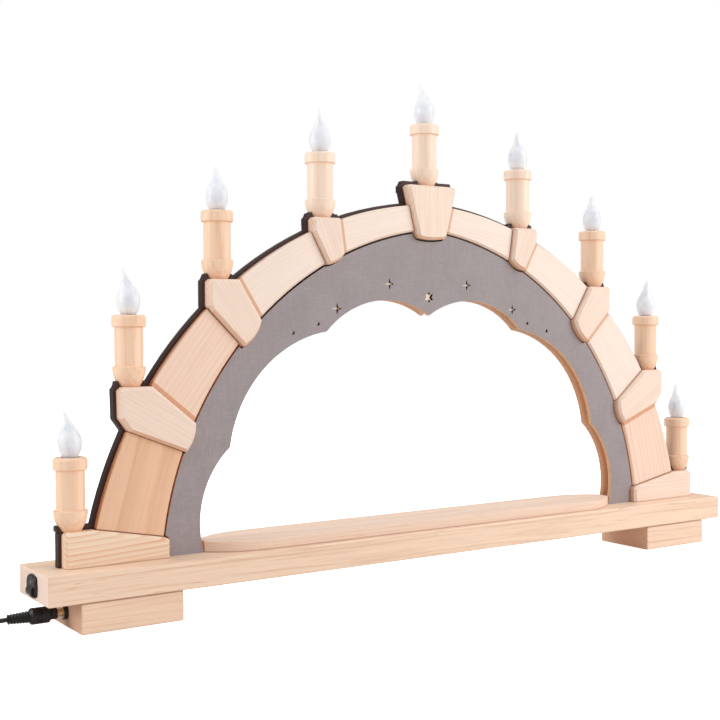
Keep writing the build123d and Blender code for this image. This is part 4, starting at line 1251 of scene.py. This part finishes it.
@dataclass
class RockerSwitch(Maker):
    """The rocker switch: a bezel with a drawn in rim and a rocker whose lower half stands out."""

    board_end: float = -325.0
    middle: float = 30.8
    ridge: float = -327.0
    upper_lean: float = 13.8
    lower_lean: float = 5.8
    upper_face: float = 3.4
    old_rim: tuple[float, float] = (11.0, 8.2)
    new_rim: tuple[float, float] = (8.8, 7.9)
    squareness: float = 2.5
    window: tuple[float, float] = (5.6, 6.45)
    body_corner: Triple = (5.3, 3.9, 3.005)
    raised: float = 1.4
    raise_from: float = 31.6
    raise_over: float = 3.4
    rest_at: float = 24.8
    rest_over: float = 3.4
    upper_rise: float = 0.185
    levels: Triple = (24.4, 37.0, 0.4)
    sharp: float = 35.0
    mark_tall: float = 0.75
    mark_thick: float = 0.14

    def lift(self, height: np.ndarray) -> np.ndarray:
        """How far the rocker's face stands further out at a height, in millimetres.

        Below raise_from it grows to raised by t^2 (3 - 2 t) and rounds off to 0 at rest_at by
        sqrt(1 - (1 - u)^2), and above the middle it grows by upper_rise for each millimetre.
        """
        share = np.clip((self.raise_from - height) / self.raise_over, 0.0, 1.0)
        end = 1.0 - np.clip((height - self.rest_at) / self.rest_over, 0.0, 1.0)
        lower = self.raised * share**2 * (3 - 2 * share) * np.sqrt(1.0 - end**2)
        return lower + self.upper_rise * np.maximum(height - self.middle, 0.0)

    def raise_halves(self, points: np.ndarray) -> None:
        """Move the rocker's front out by lift."""
        ahead = points[:, 0] < self.board_end - 0.05
        points[:, 0] -= np.where(ahead, self.lift(points[:, 2]), 0.0)

    def draw_in(self, points: np.ndarray) -> None:
        """Turn the rim from the ellipse y^2/a^2 + z^2/b^2 into |y/c|^n + |z/d|^n.

        The window, the body in the pocket and its outline on the board's end stay.
        """
        ahead, across, up = points[:, 0] - self.board_end, points[:, 1], points[:, 2] - self.middle
        half_wide, half_tall, radius = self.body_corner
        corner = np.hypot(
            np.maximum(np.abs(across) - half_wide, 0.0), np.maximum(np.abs(up) - half_tall, 0.0)
        )
        outside = (np.abs(across) > self.window[0]) | (np.abs(up) > self.window[1])
        rim = (ahead < 0.005) & outside & ((ahead < -0.005) | (corner > radius))
        shares = np.stack([across / self.old_rim[0], up / self.old_rim[1]], axis=1)
        size = np.maximum(np.hypot(shares[:, 0], shares[:, 1]), 1e-6)[:, None]
        shares = size * np.sign(shares) * np.abs(shares / size) ** (2.0 / self.squareness)
        points[:, 1] = np.where(rim, shares[:, 0] * self.new_rim[0], across)
        points[:, 2] = np.where(rim, shares[:, 1] * self.new_rim[1], up) + self.middle

    def redrawn(
        self, node: str, name: str, change: Callable[[np.ndarray], None], levels: tuple = ()
    ) -> Object:
        """A merged copy of a CAD node with its points changed.

        Args:
            node: the CAD node.
            name: the new piece's name.
            change: moves an array of points in millimetres in place.
            levels: lowest height, end and step of the levels at which the faces are cut first.

        Returns:
            The new object.
        """
        mesh = self.nodes[node].data.copy()
        mesh.name = name
        mesh.transform(self.nodes[node].matrix_world)
        merged = bmesh.new()
        merged.from_mesh(mesh)
        bmesh.ops.remove_doubles(merged, verts=merged.verts, dist=0.001 * MM)
        for level in np.arange(*levels) if levels else ():
            parts = merged.verts[:] + merged.edges[:] + merged.faces[:]
            bmesh.ops.bisect_plane(
                merged, geom=parts, plane_co=(0.0, 0.0, level * MM), plane_no=(0.0, 0.0, 1.0)
            )
        bmesh.ops.triangulate(merged, faces=merged.faces)
        merged.to_mesh(mesh)
        merged.free()
        points = np.empty((len(mesh.vertices), 3))
        mesh.vertices.foreach_get("co", points.ravel())
        points /= MM
        change(points)
        mesh.vertices.foreach_set("co", (points * MM).ravel())
        for layer in ("custom_normal", "sharp_edge"):
            if layer in mesh.attributes:
                mesh.attributes.remove(mesh.attributes[layer])
        mesh.shade_smooth()
        mesh.set_sharp_from_angle(angle=math.radians(self.sharp))
        mesh.materials.clear()
        mesh.update()
        return placed(name, mesh)

    def marks(self) -> None:
        """Raise a ring on the rocker's upper half and a bar on its lower half.

        Each half leans from the ridge by its angle, and a mark stands on it so far along.
        """
        white = MARK_WHITE.make("rocker_mark_white", self.effects)
        for name, lean, face, along, wide in (
            ("rocker_mark_ring", self.upper_lean, self.upper_face, 3.0, 0.62),
            ("rocker_mark_bar", -self.lower_lean, -self.lower_lean, -2.7, 0.1),
        ):
            lean, face = math.radians(lean), math.radians(face)
            height = self.middle + along * math.cos(lean)
            ahead = self.ridge + along * math.sin(lean) - float(self.lift(np.array(height)))
            out = (-math.cos(face), 0.0, math.sin(face))
            sizes = (wide * MM, self.mark_tall * MM, self.mark_thick * MM)
            band = loop_band((ahead * MM, 0.0, height * MM), out, *sizes)
            finish_piece(grid_skin(name, band), white, "rocker")

    def build(self) -> None:
        """Make the bezel, the rocker and its marks."""
        black = BLACK_PLASTIC.make("switch_black", self.effects)
        bezel = self.redrawn("switch_housing", "switch_bezel", self.draw_in)
        finish_piece(bezel, black, "arch")
        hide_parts("switch_housing")
        rocker = self.redrawn("switch_rocker", "switch_tongue", self.raise_halves, self.levels)
        finish_piece(rocker, black, "rocker")
        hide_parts("switch_rocker")
        self.marks()


@dataclass
class SmallParts(Maker):
    """Jack, plug, adapter, sockets, loom and screws."""

    def build(self) -> None:
        """Dress each small node."""
        for finish, names in (
            (BLACK_PLASTIC, ("jack_nut", "power_adapter")),
            (BLACK_RUBBER, ("plug_body",)),
            (NICKEL, ("adapter_pins", "jack_body")),
            (BARREL_PLATE, ("plug_barrel",)),
            (SCREW_STEEL, ("foot_screws",)),
            (SOCKET_PLASTIC, ("lamp_sockets",)),
            (LOOM_COVER, ("wiring_loom",)),
        ):
            for name in names:
                dress(self.nodes[name], finish.make(f"finish_{name}", self.effects))


def main() -> None:
    """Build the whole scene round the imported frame."""
    logging.basicConfig(level=logging.INFO, format="%(name)s: %(message)s")
    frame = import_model()
    nodes = frame["nodes"]
    effects = Effects()
    studio = Studio()
    studio.camera()
    CordSet(effects, nodes).build()
    studio.lights()
    studio.floor(effects)
    for maker in (WoodenPieces, Plates, FlameLamps, RockerSwitch, SmallParts):
        maker(effects, nodes).build()


if __name__ == "__main__":
    main()
